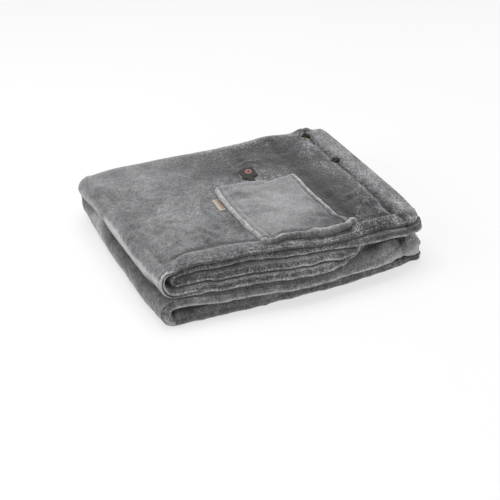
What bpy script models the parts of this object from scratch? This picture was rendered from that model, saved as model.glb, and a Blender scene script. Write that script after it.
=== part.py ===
"""An electric heated blanket of thick plush cloth, folded for storage.

The blanket is one sheet. It is folded in half and in half again along X, so that a section
across it runs back and forth through four layers, and then once over at the back, along Y,
which makes eight layers. A patch pocket for a power pack is sewn on the top layer, with a
leather control patch beside its mouth and two press studs on the side hem.

Metres, +Z up, the origin under the middle of the stack, its front towards -Y.
"""

import math

import bmesh
import bpy
from mathutils import Matrix

# ---- driving dimensions, in metres -----------------------------------------------------------
PLY = 0.0083  # thickness of the cloth with its pile on both faces
PITCH = 0.0091  # from one layer to the next
FOLD_Z = 3.5 * PITCH + PLY / 2  # height of the plane between the two packs of four layers
TOP_Z = 2 * FOLD_Z  # nominal height of the top face
BACK_Y = 0.1505  # where the layers start to turn over at the back

SIDE_HEM = 0.034  # width of the hem at the ends of the sheet
FRONT_HEM = 0.023  # width of the hem along its long edges
STITCHED = 0.70  # thickness that the hem's stitching leaves, as a part of PLY
EDGE = 0.74  # thickness of a hem's rounded edge, as a part of PLY
RIM = 0.0024  # how far the middle of that edge stands out
HEM_STATIONS = (
    # part of the hem's width from its edge, thickness as a part of PLY
    (0.00, EDGE),
    (0.15, 1.00),
    (0.38, 1.00),
    (0.70, 1.00),
    (1.00, STITCHED),
    (1.30, 1.00),
)

RUN_LENGTH = 0.392  # nominal length of one run of the section
LAYER_DEPTH = 0.305  # nominal depth of one layer, from its front edge to the back fold
ABOVE_STEPS, TURN_STEPS, BELOW_STEPS = 12, 8, 6  # faces along each layer and round the back

POCKET_GAP = 0.0005  # between the top face and what is sewn on it
POCKET_CLOTH = 0.0030
POCKET_STEPS = (14, 16)  # faces across the pocket and along it
POCKET_SEAM = 0.007  # width of the pocket's rolled seams
SEAM_SWELL = 0.25  # how much thicker a seam is than the pocket's cloth, as a part of it
POCKET_RIM = 0.0012
MOUTH_LIFT = 0.0030  # the pocket's open edge lies this much higher than its seams
MOUTH_START = 0.6  # part of the pocket's length where it starts to lift

STUD_RADIUS = 0.0068
STUD_HEIGHT = 0.0026
STUD_FOOT = 0.7 * STUD_RADIUS  # a stud stands on the cloth at this distance from its middle

COLLECTION = "heated_blanket"

# ---- the section across the sheet ------------------------------------------------------------
# From the top layer's free end to the other free end. A straight run keeps one level, counted in
# pitches from the fold plane; a turn goes from one level to the next round its centre. The
# column "outer face" is 1 where the sheet's outer face lies up on a run, or on the outside of a
# turn, and -1 where it lies down or inside.
SECTION = (
    # name, kind, first level, last level, start x, end x, outer face, steps
    ("top", "run", 3.5, 3.5, "free_end", "left_turn", 1, 16),
    ("outer turn", "turn", 3.5, 0.5, "left_turn", "left_turn", 1, 8),
    ("under", "run", 0.5, 0.5, "left_turn", "crease", -1, 9),
    ("crease", "turn", 0.5, 1.5, "crease", "crease", 1, 4),
    ("third", "run", 1.5, 1.5, "crease", "tongue", 1, 8),
    ("tongue", "turn", 1.5, 2.5, "tongue", "tongue", -1, 4),
    ("second", "run", 2.5, 2.5, "tongue", "second_end", -1, 8),
)
LEFT, RIGHT = -1, 1
TURN_SIDE = {"outer turn": LEFT, "crease": RIGHT, "tongue": LEFT}

# Where the section's runs end, in the pack above and in the pack below.
ENDS = {
    # name: (x above, x below)
    "free_end": (0.203, 0.2052),
    "left_turn": (-0.190, -0.184),
    "crease": (0.174, 0.196),
    "tongue": (-0.189, -0.183),
    "second_end": (0.199, 0.190),
}
TUCK_Y = (-0.165, -0.140, -0.100, -0.055, -0.010, 0.035, 0.080, 0.135)
TUCKS = {
    # how far along X a fold is shifted at each of TUCK_Y: in the pack above, in the pack below
    "left_turn": (
        (0.0215, 0.0200, 0.0140, 0.0114, 0.0098, 0.0087, 0.0055, 0.0020),
        (0.0110, 0.0060, 0.0010, 0.0000, 0.0000, 0.0000, 0.0000, 0.0010),
    ),
    "tongue": (
        (0.0290, 0.0270, 0.0180, 0.0140, 0.0120, 0.0105, 0.0075, 0.0040),
        (0.0150, 0.0110, 0.0050, 0.0030, 0.0020, 0.0020, 0.0020, 0.0020),
    ),
    "crease": (
        (-0.0760, -0.0660, -0.0360, -0.0090, 0.0000, 0.0000, 0.0000, 0.0000),
        (-0.0070, -0.0030, 0.0000, 0.0000, 0.0000, 0.0000, 0.0000, 0.0000),
    ),
}

# ---- the front edge of each layer ------------------------------------------------------------
EDGE_X = (-0.180, -0.070, -0.010, 0.050, 0.110, 0.190)
FRONT_EDGE = {
    # layer: y of its front edge at each of EDGE_X, for the pack above
    "top": (-0.142, -0.141, -0.149, -0.158, -0.157, -0.155),
    "second": (-0.142, -0.147, -0.157, -0.163, -0.166, -0.170),
    "third": (-0.150, -0.160, -0.168, -0.172, -0.154, -0.140),
    "under": (-0.163, -0.175, -0.182, -0.183, -0.150, -0.132),
}
LOWER_EDGE = {
    # the same for the pack below, whose two middle layers stay hidden behind the outer ones
    "top": (-0.167, -0.171, -0.171, -0.170, -0.162, -0.152),
    "second": (-0.148, -0.156, -0.160, -0.158, -0.152, -0.140),
    "third": (-0.152, -0.162, -0.166, -0.164, -0.158, -0.146),
    "under": (-0.165, -0.178, -0.184, -0.183, -0.180, -0.166),
}

CORNER_RADIUS = {
    # layer: radius of the sheet's corner seen from above, in the pack above and in the pack below
    "top": (0.031, 0.012),
    "second": (0.024, 0.012),
}
PLAIN_CORNER = (0.012, 0.012)

# ---- how the stack lies ----------------------------------------------------------------------
# Soft swells and dents of the top face: the layers below follow, less and less.
SWELLS = (
    # x, y, half length, half width, turn in degrees, height
    (-0.120, 0.060, 0.070, 0.050, 20, 0.0010),
    (-0.060, -0.110, 0.060, 0.030, 0, 0.0012),
    (0.130, -0.085, 0.035, 0.022, 25, 0.0022),
    (0.125, 0.060, 0.035, 0.028, -30, -0.0026),
    (0.060, 0.125, 0.050, 0.024, 10, -0.0016),
    (-0.030, 0.100, 0.040, 0.030, -20, -0.0014),
    (-0.150, -0.040, 0.030, 0.070, 5, -0.0012),
)
CORNER_DROOP = 0.004  # how far the two top layers hang at the front corner past the tuck
DROOPING = ("top", "second")
DROOP_X = (0.130, 0.195)
DROOP_Y = (-0.065, -0.140)

# ---- what is sewn on the top face ------------------------------------------------------------
POCKET_X = (-0.041, 0.088)
POCKET_Y = (-0.134, 0.031)
TAB_SIZE = (0.0095, 0.0330, 0.0011)
TAB_AT = (-0.0476, -0.0140)
TAB_CORNER = 0.0012
PATCH_SIZE = (0.0235, 0.0290, 0.0016)
PATCH_AT = (0.0305, 0.0620)
PATCH_TURN = math.radians(-12)
PATCH_CORNER = 0.003
TAIL_SIZE = (0.0105, 0.0210)  # the strip that runs from the patch into the pocket's mouth
TAIL_OFFSET = 0.003
STUDS = {"press_stud_front": (0.1705, 0.0455), "press_stud_back": (0.1680, 0.1385)}

COLOURS = {
    # sRGB of each sub-part, roughness and metallic value
    "blanket": ((0.45, 0.45, 0.45), 0.95, 0.0),
    "pocket": ((0.60, 0.60, 0.60), 0.95, 0.0),
    "pocket_tab": ((0.70, 0.69, 0.66), 0.80, 0.0),
    "control_patch": ((0.22, 0.19, 0.16), 0.55, 0.0),
    "press_stud": ((0.26, 0.20, 0.14), 0.40, 0.9),
}


def smooth(value, start, end):
    """0 before start and 1 past end, with a soft passage between them."""
    part = min(max((value - start) / (end - start), 0.0), 1.0)
    return part * part * (3.0 - 2.0 * part)


def mixed(first, last, part):
    return first + (last - first) * part


def swell(x, y):
    """How far the top face lies above or below its nominal height."""
    height = 0.0
    for at_x, at_y, length, width, turn, rise in SWELLS:
        angle = math.radians(turn)
        along = (x - at_x) * math.cos(angle) + (y - at_y) * math.sin(angle)
        across = (y - at_y) * math.cos(angle) - (x - at_x) * math.sin(angle)
        height += rise * math.exp(-((along / length) ** 2) - (across / width) ** 2)
    return height


def droop(x, y):
    return CORNER_DROOP * smooth(x, *DROOP_X) * smooth(y, *DROOP_Y)


def top_height(x, y):
    """The top face over the point (x, y)."""
    return TOP_Z + swell(x, y) - droop(x, y)


def read_row(row, columns, at):
    """A row of a table, read smoothly between its columns."""
    for i in range(len(columns) - 1):
        if at <= columns[i + 1]:
            return mixed(row[i], row[i + 1], smooth(at, columns[i], columns[i + 1]))
    return row[-1]


def corner_back(layer, below, from_end):
    """How far a layer's front edge draws back this near to the sheet's free end."""
    radius = mixed(*CORNER_RADIUS.get(layer, PLAIN_CORNER), below)
    near = max(radius - from_end, 0.0)
    return radius - math.sqrt(radius**2 - near**2)


def end_x(name, y, below):
    """Where a run ends; below is 0 in the pack above and 1 in the pack below."""
    above_x, below_x = ENDS[name]
    if name in TUCKS:
        above_tuck, below_tuck = TUCKS[name]
        above_x += read_row(above_tuck, TUCK_Y, y)
        below_x += read_row(below_tuck, TUCK_Y, y)
    return mixed(above_x, below_x, below)


def section_point(row, part, y, below):
    """x, level and outward normal of the section at this part of one of its rows."""
    name, kind, first, last, start, end, side, _ = row
    start_x = end_x(start, y, below)
    if kind == "run":
        return mixed(start_x, end_x(end, y, below), part), first * PITCH, 0.0, side
    turn_side = TURN_SIDE[name]
    radius = abs(last - first) * PITCH / 2
    upwards = 1 if last > first else -1
    angle = math.pi * part
    x = start_x + turn_side * radius * math.sin(angle)
    level = (first + last) * PITCH / 2 - upwards * radius * math.cos(angle)
    return x, level, side * turn_side * math.sin(angle), -side * upwards * math.cos(angle)


def layers_of(row_number):
    """The run before and the run after a row, which are the row itself on a run."""
    if SECTION[row_number][1] == "run":
        return SECTION[row_number][0], SECTION[row_number][0]
    return SECTION[row_number - 1][0], SECTION[row_number + 1][0]


def with_hem(width, length, steps):
    """(part, thickness) from a hemmed edge, over its stitching, to the far end of a layer."""
    stations = [(part * width / length, thickness) for part, thickness in HEM_STATIONS]
    past = stations[-1][0]
    return stations + [(mixed(past, 1.0, step / steps), 1.0) for step in range(1, steps + 1)]


def across_stations():
    """(row number, part of the row, thickness) all along the section."""
    stations = []
    final = len(SECTION) - 1
    for number, row in enumerate(SECTION):
        steps = row[7]
        if number == 0:
            parts = with_hem(SIDE_HEM, RUN_LENGTH, steps)
        elif number == final:
            from_end = with_hem(SIDE_HEM, RUN_LENGTH, steps)
            parts = [(1.0 - part, thickness) for part, thickness in reversed(from_end)][1:]
        else:
            parts = [(step / steps, 1.0) for step in range(1, steps + 1)]
        stations += [(number, part, thickness) for part, thickness in parts]
    return stations


def along_stations():
    """(where, part of the way, thickness) from the front edge above, over the back, to the
    front edge below."""
    above = with_hem(FRONT_HEM, LAYER_DEPTH, ABOVE_STEPS)
    below = with_hem(FRONT_HEM, LAYER_DEPTH, BELOW_STEPS)
    turn = [step / TURN_STEPS for step in range(1, TURN_STEPS)]
    return (
        [("above", part, thickness) for part, thickness in above]
        + [("turn", part, 1.0) for part in turn]
        + [("below", part, thickness) for part, thickness in reversed(below)]
    )


def folded(across, along, face, rim_x, rim_y):
    """The place of a point of the flat sheet once it is folded.

    face is +1 on the sheet's outer face, -1 on its inner face and 0 in the middle of its edge,
    which stands out by rim_x at the sheet's ends and by rim_y at its long edges.
    """
    number, part, thickness_across = across
    where, way, thickness_along = along
    row = SECTION[number]
    before, after = layers_of(number)
    below = {"above": 0.0, "turn": way, "below": 1.0}[where]
    edges = FRONT_EDGE if where == "above" else LOWER_EDGE
    from_end = {0: part, len(SECTION) - 1: 1.0 - part}.get(number, 1.0) * RUN_LENGTH
    corner = corner_back(before, below, from_end)

    # A tucked fold makes x depend on y, and y depends on x: a few rounds settle both.
    y = BACK_Y
    for _ in range(3):
        x, level, normal_x, normal_level = section_point(row, part, y, below)
        if where != "turn":
            edge_before = read_row(edges[before], EDGE_X, x)
            edge_after = read_row(edges[after], EDGE_X, x)
            front = mixed(edge_before, edge_after, part) + corner
            y = mixed(front - rim_y, BACK_Y, way)

    offset = face * PLY / 2 * min(thickness_across, thickness_along)
    x += offset * normal_x + rim_x
    level += offset * normal_level
    if where == "turn":
        angle = math.pi * way
        y = BACK_Y + level * math.sin(angle)
        z = FOLD_Z + level * math.cos(angle)
    else:
        z = FOLD_Z + (level if where == "above" else -level)
    z += swell(x, y) * z / TOP_Z
    if where == "above" and row[0] in DROOPING:
        z -= droop(x, y)
    return x, y, z


def make_object(name, mesh, colour, collection):
    """A mesh as a named object of its own, with its own material."""
    obj = bpy.data.objects.new(name, mesh)
    collection.objects.link(obj)
    (red, green, blue), roughness, metallic = COLOURS[colour]
    material = bpy.data.materials.new(name)
    material.use_nodes = True
    shader = material.node_tree.nodes["Principled BSDF"]
    linear = [channel**2.2 for channel in (red, green, blue)]
    shader.inputs["Base Color"].default_value = (*linear, 1.0)
    shader.inputs["Roughness"].default_value = roughness
    shader.inputs["Metallic"].default_value = metallic
    mesh.materials.append(material)
    mesh.shade_smooth()
    return obj


def slab(columns, rows):
    """A flat slab of columns by rows faces, one unit thick, with a middle ring round its rim.

    Its points stand on whole numbers: 0 to columns, 0 to rows, and -1, 0 or 1 for the face.
    """
    bm = bmesh.new()
    bmesh.ops.create_grid(bm, x_segments=columns, y_segments=rows, size=0.5)
    for vert in bm.verts:
        vert.co.x = round((vert.co.x + 0.5) * columns)
        vert.co.y = round((vert.co.y + 0.5) * rows)
        vert.co.z = -1.0
    grown = bmesh.ops.extrude_face_region(bm, geom=bm.faces[:])["geom"]
    for vert in grown:
        if isinstance(vert, bmesh.types.BMVert):
            vert.co.z = 1.0
    upright = [edge for edge in bm.edges if abs(edge.verts[0].co.z - edge.verts[1].co.z) > 1.5]
    bmesh.ops.subdivide_edges(bm, edges=upright, cuts=1)
    bmesh.ops.recalc_face_normals(bm, faces=bm.faces[:])
    return bm


def finish(bm, name, colour, collection):
    bmesh.ops.recalc_face_normals(bm, faces=bm.faces[:])
    mesh = bpy.data.meshes.new(name)
    bm.to_mesh(mesh)
    bm.free()
    return make_object(name, mesh, colour, collection)


def make_blanket(collection):
    """The sheet is a flat slab first, and each of its points is then moved to its folded place."""
    across = across_stations()
    along = along_stations()
    columns, rows = len(across) - 1, len(along) - 1
    bm = slab(columns, rows)
    for vert in bm.verts:
        column, row, face = round(vert.co.x), round(vert.co.y), round(vert.co.z)
        rim_x = RIM if face == 0 and column in (0, columns) else 0.0
        rim_y = RIM if face == 0 and row in (0, rows) else 0.0
        vert.co = folded(across[column], along[row], face, rim_x, rim_y)
    return finish(bm, "blanket", "blanket", collection)


def make_pocket(collection):
    """A patch of the same cloth, seamed on three sides and open towards the back."""
    columns, rows = POCKET_STEPS
    bm = slab(columns, rows)
    for vert in bm.verts:
        u, v, face = vert.co.x / columns, vert.co.y / rows, vert.co.z
        x, y = mixed(*POCKET_X, u), mixed(*POCKET_Y, v)
        seam = 1.0 - smooth(min(x - POCKET_X[0], POCKET_X[1] - x), 0.0, 2 * POCKET_SEAM)
        mouth = math.sin(math.pi * u) * smooth(v, MOUTH_START, 1.0)
        thickness = POCKET_CLOTH * (1.0 + SEAM_SWELL * seam)
        if face == 0:
            x += POCKET_RIM * ((u == 1) - (u == 0))
            y += POCKET_RIM * ((v == 1) - (v == 0))
        lift = POCKET_GAP + MOUTH_LIFT * mouth + thickness * (face + 1) / 2
        vert.co = (x, y, top_height(x, y) + lift)
    return finish(bm, "pocket", "pocket", collection)


def laid_outline(name, outline, thickness, place, collection):
    """A flat outline, cut from sheet, that lies on the top face at its place."""
    bm = bmesh.new()
    face = bm.faces.new([bm.verts.new((x, y, 0.0)) for x, y in outline])
    grown = bmesh.ops.extrude_face_region(bm, geom=[face])["geom"]
    raised = [item for item in grown if isinstance(item, bmesh.types.BMVert)]
    bmesh.ops.translate(bm, verts=raised, vec=(0.0, 0.0, thickness))
    bm.transform(place)
    for vert in bm.verts:
        vert.co.z += top_height(vert.co.x, vert.co.y) + POCKET_GAP
    return finish(bm, name, name, collection)


def rounded_outline(width, length, corner, steps=4):
    """A rectangle about the origin with round corners, anticlockwise."""
    points = []
    for quarter, (side_x, side_y) in enumerate(((1, 1), (-1, 1), (-1, -1), (1, -1))):
        centre_x = side_x * (width / 2 - corner)
        centre_y = side_y * (length / 2 - corner)
        for step in range(steps + 1):
            angle = math.pi / 2 * (quarter + step / steps)
            points.append((centre_x + corner * math.cos(angle), centre_y + corner * math.sin(angle)))
    return points


def make_control_patch(collection):
    """A leather patch with a tail that runs down to the pocket's mouth."""
    width, length, thickness = PATCH_SIZE
    outline = rounded_outline(width, length, PATCH_CORNER)
    tail_width, tail_length = TAIL_SIZE
    tail = [
        (TAIL_OFFSET - tail_width / 2, -length / 2),
        (TAIL_OFFSET - tail_width / 2, -length / 2 - tail_length),
        (TAIL_OFFSET + tail_width / 2, -length / 2 - tail_length),
        (TAIL_OFFSET + tail_width / 2, -length / 2),
    ]
    corner_points = len(outline) // 4
    outline = outline[: 3 * corner_points] + tail + outline[3 * corner_points :]
    place = Matrix.Translation((*PATCH_AT, 0.0)) @ Matrix.Rotation(PATCH_TURN, 4, "Z")
    return laid_outline("control_patch", outline, thickness, place, collection)


def make_pocket_tab(collection):
    """The small folded ribbon that is caught in the pocket's left seam."""
    width, length, thickness = TAB_SIZE
    outline = rounded_outline(width, length, TAB_CORNER, steps=2)
    place = Matrix.Translation((*TAB_AT, 0.0))
    return laid_outline("pocket_tab", outline, thickness, place, collection)


def make_stud(name, place, collection):
    """The cap of a press stud: a low dome inside a raised ring."""
    profile = (
        # radius, height, down the outside from the crown of the dome
        (0.0, 0.90),
        (0.35, 0.84),
        (0.56, 0.62),
        (0.66, 0.58),
        (0.76, 0.92),
        (0.88, 1.00),
        (0.98, 0.72),
        (1.00, 0.30),
        (0.94, 0.0),
        (0.0, 0.0),
    )
    mesh = bpy.data.meshes.new(name)
    points = [(STUD_RADIUS * radius, 0.0, STUD_HEIGHT * height) for radius, height in profile]
    mesh.from_pydata(points, [(i, i + 1) for i in range(len(points) - 1)], [])
    obj = make_object(name, mesh, "press_stud", collection)
    screw = obj.modifiers.new("turned", "SCREW")
    screw.steps = screw.render_steps = 24
    screw.use_merge_vertices = True
    screw.merge_threshold = 0.00005
    x, y = place
    sides = ((STUD_FOOT, 0.0), (-STUD_FOOT, 0.0), (0.0, STUD_FOOT), (0.0, -STUD_FOOT))
    rim = [top_height(x + dx, y + dy) for dx, dy in sides]
    tilt_x = math.atan2(rim[2] - rim[3], 2 * STUD_FOOT)
    tilt_y = math.atan2(rim[1] - rim[0], 2 * STUD_FOOT)
    obj.location = (x, y, max(rim + [top_height(x, y)]) + POCKET_GAP)
    obj.rotation_euler = (tilt_x, tilt_y, 0.0)
    return obj


def main():
    for obj in list(bpy.data.objects):
        bpy.data.objects.remove(obj)
    collection = bpy.data.collections.new(COLLECTION)
    bpy.context.scene.collection.children.link(collection)
    make_blanket(collection)
    make_pocket(collection)
    make_pocket_tab(collection)
    make_control_patch(collection)
    for name, place in STUDS.items():
        make_stud(name, place, collection)


main()
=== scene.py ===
"""The looks of a folded electric heated blanket: thick grey plush, a lighter patch pocket with a
ribbon tab, a leather control patch with a lit symbol, and two press studs on the side hem.

The blanket is one sheet. It is folded in half and in half again along X and then once over at
the back, so the same fold map as the solid's places every point of a flat sheet, with finer
steps, a seamed rim, stitched hems and the creases of the cloth added on top.

Metres, +Z up, the front towards -Y.
"""

import math

import bmesh
import bpy
import numpy as np
from mathutils import Matrix, Vector


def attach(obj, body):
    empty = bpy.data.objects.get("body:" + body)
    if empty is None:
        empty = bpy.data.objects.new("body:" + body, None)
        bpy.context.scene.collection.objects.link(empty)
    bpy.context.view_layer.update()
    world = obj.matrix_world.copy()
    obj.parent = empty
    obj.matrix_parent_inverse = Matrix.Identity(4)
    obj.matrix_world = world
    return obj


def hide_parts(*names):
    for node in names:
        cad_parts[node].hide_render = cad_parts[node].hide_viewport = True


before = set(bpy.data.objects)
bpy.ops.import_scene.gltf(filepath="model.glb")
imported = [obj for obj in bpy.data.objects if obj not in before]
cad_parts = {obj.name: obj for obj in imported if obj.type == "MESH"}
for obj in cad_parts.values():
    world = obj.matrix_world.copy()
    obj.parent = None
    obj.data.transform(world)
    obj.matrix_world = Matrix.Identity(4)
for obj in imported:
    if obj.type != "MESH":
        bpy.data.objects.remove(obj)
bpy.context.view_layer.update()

# ---- the sheet and its folds, in metres ------------------------------------------------------
PLY = 0.0083  # thickness of the cloth with its pile on both faces
PITCH = 0.0091  # from one layer to the next
FOLD_Z = 3.5 * PITCH + PLY / 2  # height of the plane between the two packs of four layers
TOP_Z = 2 * FOLD_Z  # nominal height of the top face
BACK_Y = 0.1505  # where the layers start to turn over at the back

SIDE_HEM = 0.034
FRONT_HEM = 0.023
RUN_LENGTH = 0.392
LAYER_DEPTH = 0.305
BACK_TURN_LENGTH = 0.057

# The section across the sheet, from the top layer's free end to the other free end.
SECTION = (
    # name, kind, first level, last level, start x, end x, outer face, steps
    ("top", "run", 3.5, 3.5, "free_end", "left_turn", 1, 122),
    ("outer turn", "turn", 3.5, 0.5, "left_turn", "left_turn", 1, 20),
    ("under", "run", 0.5, 0.5, "left_turn", "crease", -1, 100),
    ("crease", "turn", 0.5, 1.5, "crease", "crease", 1, 8),
    ("third", "run", 1.5, 1.5, "crease", "tongue", 1, 84),
    ("tongue", "turn", 1.5, 2.5, "tongue", "tongue", -1, 8),
    ("second", "run", 2.5, 2.5, "tongue", "second_end", -1, 80),
)
ALONG_STEPS = (92, 16, 14)  # steps from front to back above, round the back, and below
FINE_ROWS = ("top", "outer turn")  # the others keep every fourth point away from their hems
LEFT, RIGHT = -1, 1
TURN_SIDE = {"outer turn": LEFT, "crease": RIGHT, "tongue": LEFT}
ENDS = {
    # where a run ends: x in the pack above, x in the pack below
    "free_end": (0.203, 0.2052),
    "left_turn": (-0.190, -0.184),
    "crease": (0.174, 0.196),
    "tongue": (-0.189, -0.183),
    "second_end": (0.199, 0.190),
}
TUCK_Y = (-0.165, -0.140, -0.100, -0.055, -0.010, 0.035, 0.080, 0.135, 0.160, 0.182)
TUCKS = {
    # how far a fold is shifted along X at each of TUCK_Y: in the pack above, in the pack below
    "left_turn": (
        (0.0215, 0.0200, 0.0140, 0.0114, 0.0098, 0.0087, 0.0055, 0.0020, 0.0010, 0.0110),
        (0.0110, 0.0085, 0.0045, 0.0020, 0.0010, 0.0000, 0.0000, 0.0005, 0.0020, 0.0150),
    ),
    "tongue": (
        (0.0290, 0.0270, 0.0180, 0.0140, 0.0120, 0.0105, 0.0075, 0.0040, 0.0060, 0.0150),
        (0.0150, 0.0110, 0.0050, 0.0030, 0.0020, 0.0020, 0.0020, 0.0020, 0.0050, 0.0130),
    ),
    "crease": (
        (-0.0880, -0.0620, -0.0320, -0.0080, 0.0, 0.0, 0.0, 0.0, 0.0, 0.0),
        (-0.0020, 0.0005, 0.0, 0.0, 0.0, 0.0, 0.0, 0.0, 0.0, 0.0),
    ),
    "free_end": (
        (0.0035, 0.0048, 0.0016, 0.0012, 0.0015, 0.0015, 0.0015, 0.0010, 0.0, 0.0),
        (0.0006, 0.0006, 0.0, 0.0, 0.0, 0.0, 0.0, 0.0, 0.0, 0.0),
    ),
    "second_end": (
        (0.0085, 0.0095, 0.0040, 0.0, 0.0, 0.0, 0.0, 0.0, 0.0, 0.0),
        (0.0, 0.0, 0.0, 0.0, 0.0, 0.0, 0.0, 0.0, 0.0, 0.0),
    ),
}

EDGE_X = (
    (-0.180, -0.128, -0.100, -0.066, -0.035, -0.008, 0.020)
    + (0.040, 0.066, 0.085, 0.112, 0.135, 0.160, 0.190)
)
FRONT_EDGE = {
    # layer: y of its front edge at each of EDGE_X, for the pack above
    "top": (
        (-0.1420, -0.1335, -0.1375, -0.1415, -0.1445, -0.1468, -0.1510)
        + (-0.1550, -0.1556, -0.1560, -0.1530, -0.1505, -0.1520, -0.1510)
    ),
    "second": (
        (-0.1380, -0.1315, -0.1370, -0.1385, -0.1430, -0.1495, -0.1535)
        + (-0.1535, -0.1590, -0.1615, -0.1640, -0.1650, -0.1640, -0.1595)
    ),
    "third": (
        (-0.1430, -0.1445, -0.1515, -0.1545, -0.1600, -0.1640, -0.1672)
        + (-0.1668, -0.1712, -0.1668, -0.1500, -0.1440, -0.1400, -0.1360)
    ),
    "under": (
        (-0.1570, -0.1590, -0.1645, -0.1675, -0.1730, -0.1775, -0.1803)
        + (-0.1797, -0.1725, -0.1620, -0.1440, -0.1370, -0.1320, -0.1280)
    ),
}
LOWER_EDGE = {
    # the same for the pack below, whose two middle layers are hidden behind the lowest hem
    "top": (
        (-0.1670, -0.1685, -0.1700, -0.1710, -0.1710, -0.1710, -0.1705)
        + (-0.1702, -0.1700, -0.1692, -0.1656, -0.1628, -0.1590, -0.1525)
    ),
    "second": (
        (-0.1360, -0.1390, -0.1400, -0.1410, -0.1420, -0.1430, -0.1430)
        + (-0.1420, -0.1410, -0.1390, -0.1360, -0.1330, -0.1290, -0.1240)
    ),
    "third": (
        (-0.1380, -0.1410, -0.1420, -0.1430, -0.1440, -0.1450, -0.1450)
        + (-0.1440, -0.1430, -0.1420, -0.1410, -0.1410, -0.1410, -0.1410)
    ),
    "under": (
        (-0.1625, -0.1690, -0.1715, -0.1750, -0.1790, -0.1825, -0.1848)
        + (-0.1840, -0.1805, -0.1795, -0.1790, -0.1750, -0.1680, -0.1610)
    ),
}
EDGE_BUMPS = (
    # layer, pack, x, half width, how far its front edge is drawn back there
    ("under", "below", 0.169, 0.0055, 0.0075),
    ("under", "below", 0.186, 0.0080, -0.0020),
    ("top", "below", -0.046, 0.0030, -0.0016),
    ("top", "below", -0.026, 0.0120, 0.0020),
)
CORNERS = {
    # layer: radius of the sheet's corner seen from above, in the pack above and below
    "top": (0.032, 0.010),
    "second": (0.028, 0.012),
}
OTHER_CORNERS = (0.012, 0.012)
HANGING = ("under", "crease", "third")  # the rows whose lower part hangs down at the front
HANG_X = (-0.165, -0.110, -0.050, 0.130, 0.158, 0.178, 0.200)
HANG = (0.0, 0.0046, 0.0050, 0.0044, 0.0042, 0.0050, 0.0045)  # the hem above the lowest one hangs down
HANG_REACH = 0.024
FAT_X = (-0.190, -0.168, -0.100, 0.040, 0.120, 0.170)
FAT = (0.0075, 0.0120, 0.0128, 0.0120, 0.0080, 0.0016)  # the lowest hem is rolled thicker by this
FAT_REACH = (0.012, 0.021)  # it is full up to the first distance from the edge, none past the second
FAT_TURN = (0.0075, 0.0040)  # the same for the lower left turn: where it starts, where it ends
BULGE_X = (-0.184, -0.150, 0.150, 0.174, 0.205)
BULGE = (0.0040, 0.0, 0.0, 0.0055, 0.0055)  # the hem above it is thicker by this at its ends

SWELLS = (
    # x, y, half length, half width, turn in degrees, height
    (-0.120, 0.060, 0.070, 0.050, 20, 0.0010),
    (-0.060, -0.110, 0.060, 0.030, 0, 0.0012),
    (0.130, -0.085, 0.035, 0.022, 25, 0.0022),
    (0.125, 0.060, 0.035, 0.028, -30, -0.0026),
    (0.060, 0.125, 0.050, 0.024, 10, -0.0016),
    (-0.030, 0.100, 0.040, 0.030, -20, -0.0014),
    (-0.150, -0.040, 0.030, 0.070, 5, -0.0012),
    (-0.202, 0.158, 0.034, 0.036, 0, -0.0060),
)
CORNER_DROOP = 0.0040
DROOPING = ("top", "second")
DROOP_X = (0.130, 0.195)
DROOP_Y = (-0.065, -0.140)

# ---- relief of the cloth ---------------------------------------------------------------------
# A rim is two plies sewn face to face and turned, so it has two lips with a seam between them.
RIM_PROFILE = (
    # how far the point stands out past the edge, half thickness there as a part of PLY / 2
    (0.0025, 0.00),
    (0.0030, 0.22),
    (0.0030, 0.44),
    (0.0022, 0.68),
    (0.0004, 0.88),
    (-0.0022, 1.00),
)
RIM_SEAM = 0.0017  # depth of the seam where it shows
FAINT_SEAM = 0.12  # how clearly it shows elsewhere than round the upper left turn
LIP_LEAN = 0.0013  # elsewhere the lower lip stands out this much further and the upper one less
HEM_SWELL = (
    # distance from the edge, thickness of the hem there as a part of PLY
    (0.0006, 1.0),
    (0.0020, 1.0),
    (0.0042, 1.02),
    (0.0070, 1.03),
    (0.0105, 1.03),
    (0.0145, 1.03),
    (0.0190, 1.02),
    (0.0235, 1.02),
    (0.0280, 1.0),
)
HEM_STITCHING = ((-0.0018, 0.86), (0.0, 0.70), (0.0018, 0.86), (0.004, 1.0))  # the same past its seam
EDGE_LUMPS = ((0.0007, 0.019), (0.0010, 0.0085))  # rise and cell of a rim's coarse and fine lumps
RIM_PARTS = (0.0, 0.22, 0.44, 0.68, 0.88, 1.0)  # parts of the full thickness, from the middle out
RIM_ARC = (0.0068, 0.0059, 0.0049, 0.0036, 0.0019, 0.0)  # the way along the cloth from there to the hem
SEAM_SHADE = (-1.1, 0.0, 1.4, 1.2, 0.6, 0.0)  # painted shade in the seam between two lips lit by painted highlights
UPPER_LIP_SHADE = (0.40, 0.10, -0.30, -0.55, -0.30, 0.0)  # painted shade at the top of a layer's edge, under the layer above
LOWER_LIP_HIGHLIGHT = (0.40, 0.80, 1.00, 0.60, -0.10, 0.0)  # and a painted highlight at its bottom, where the pile's tips catch the light

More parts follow.
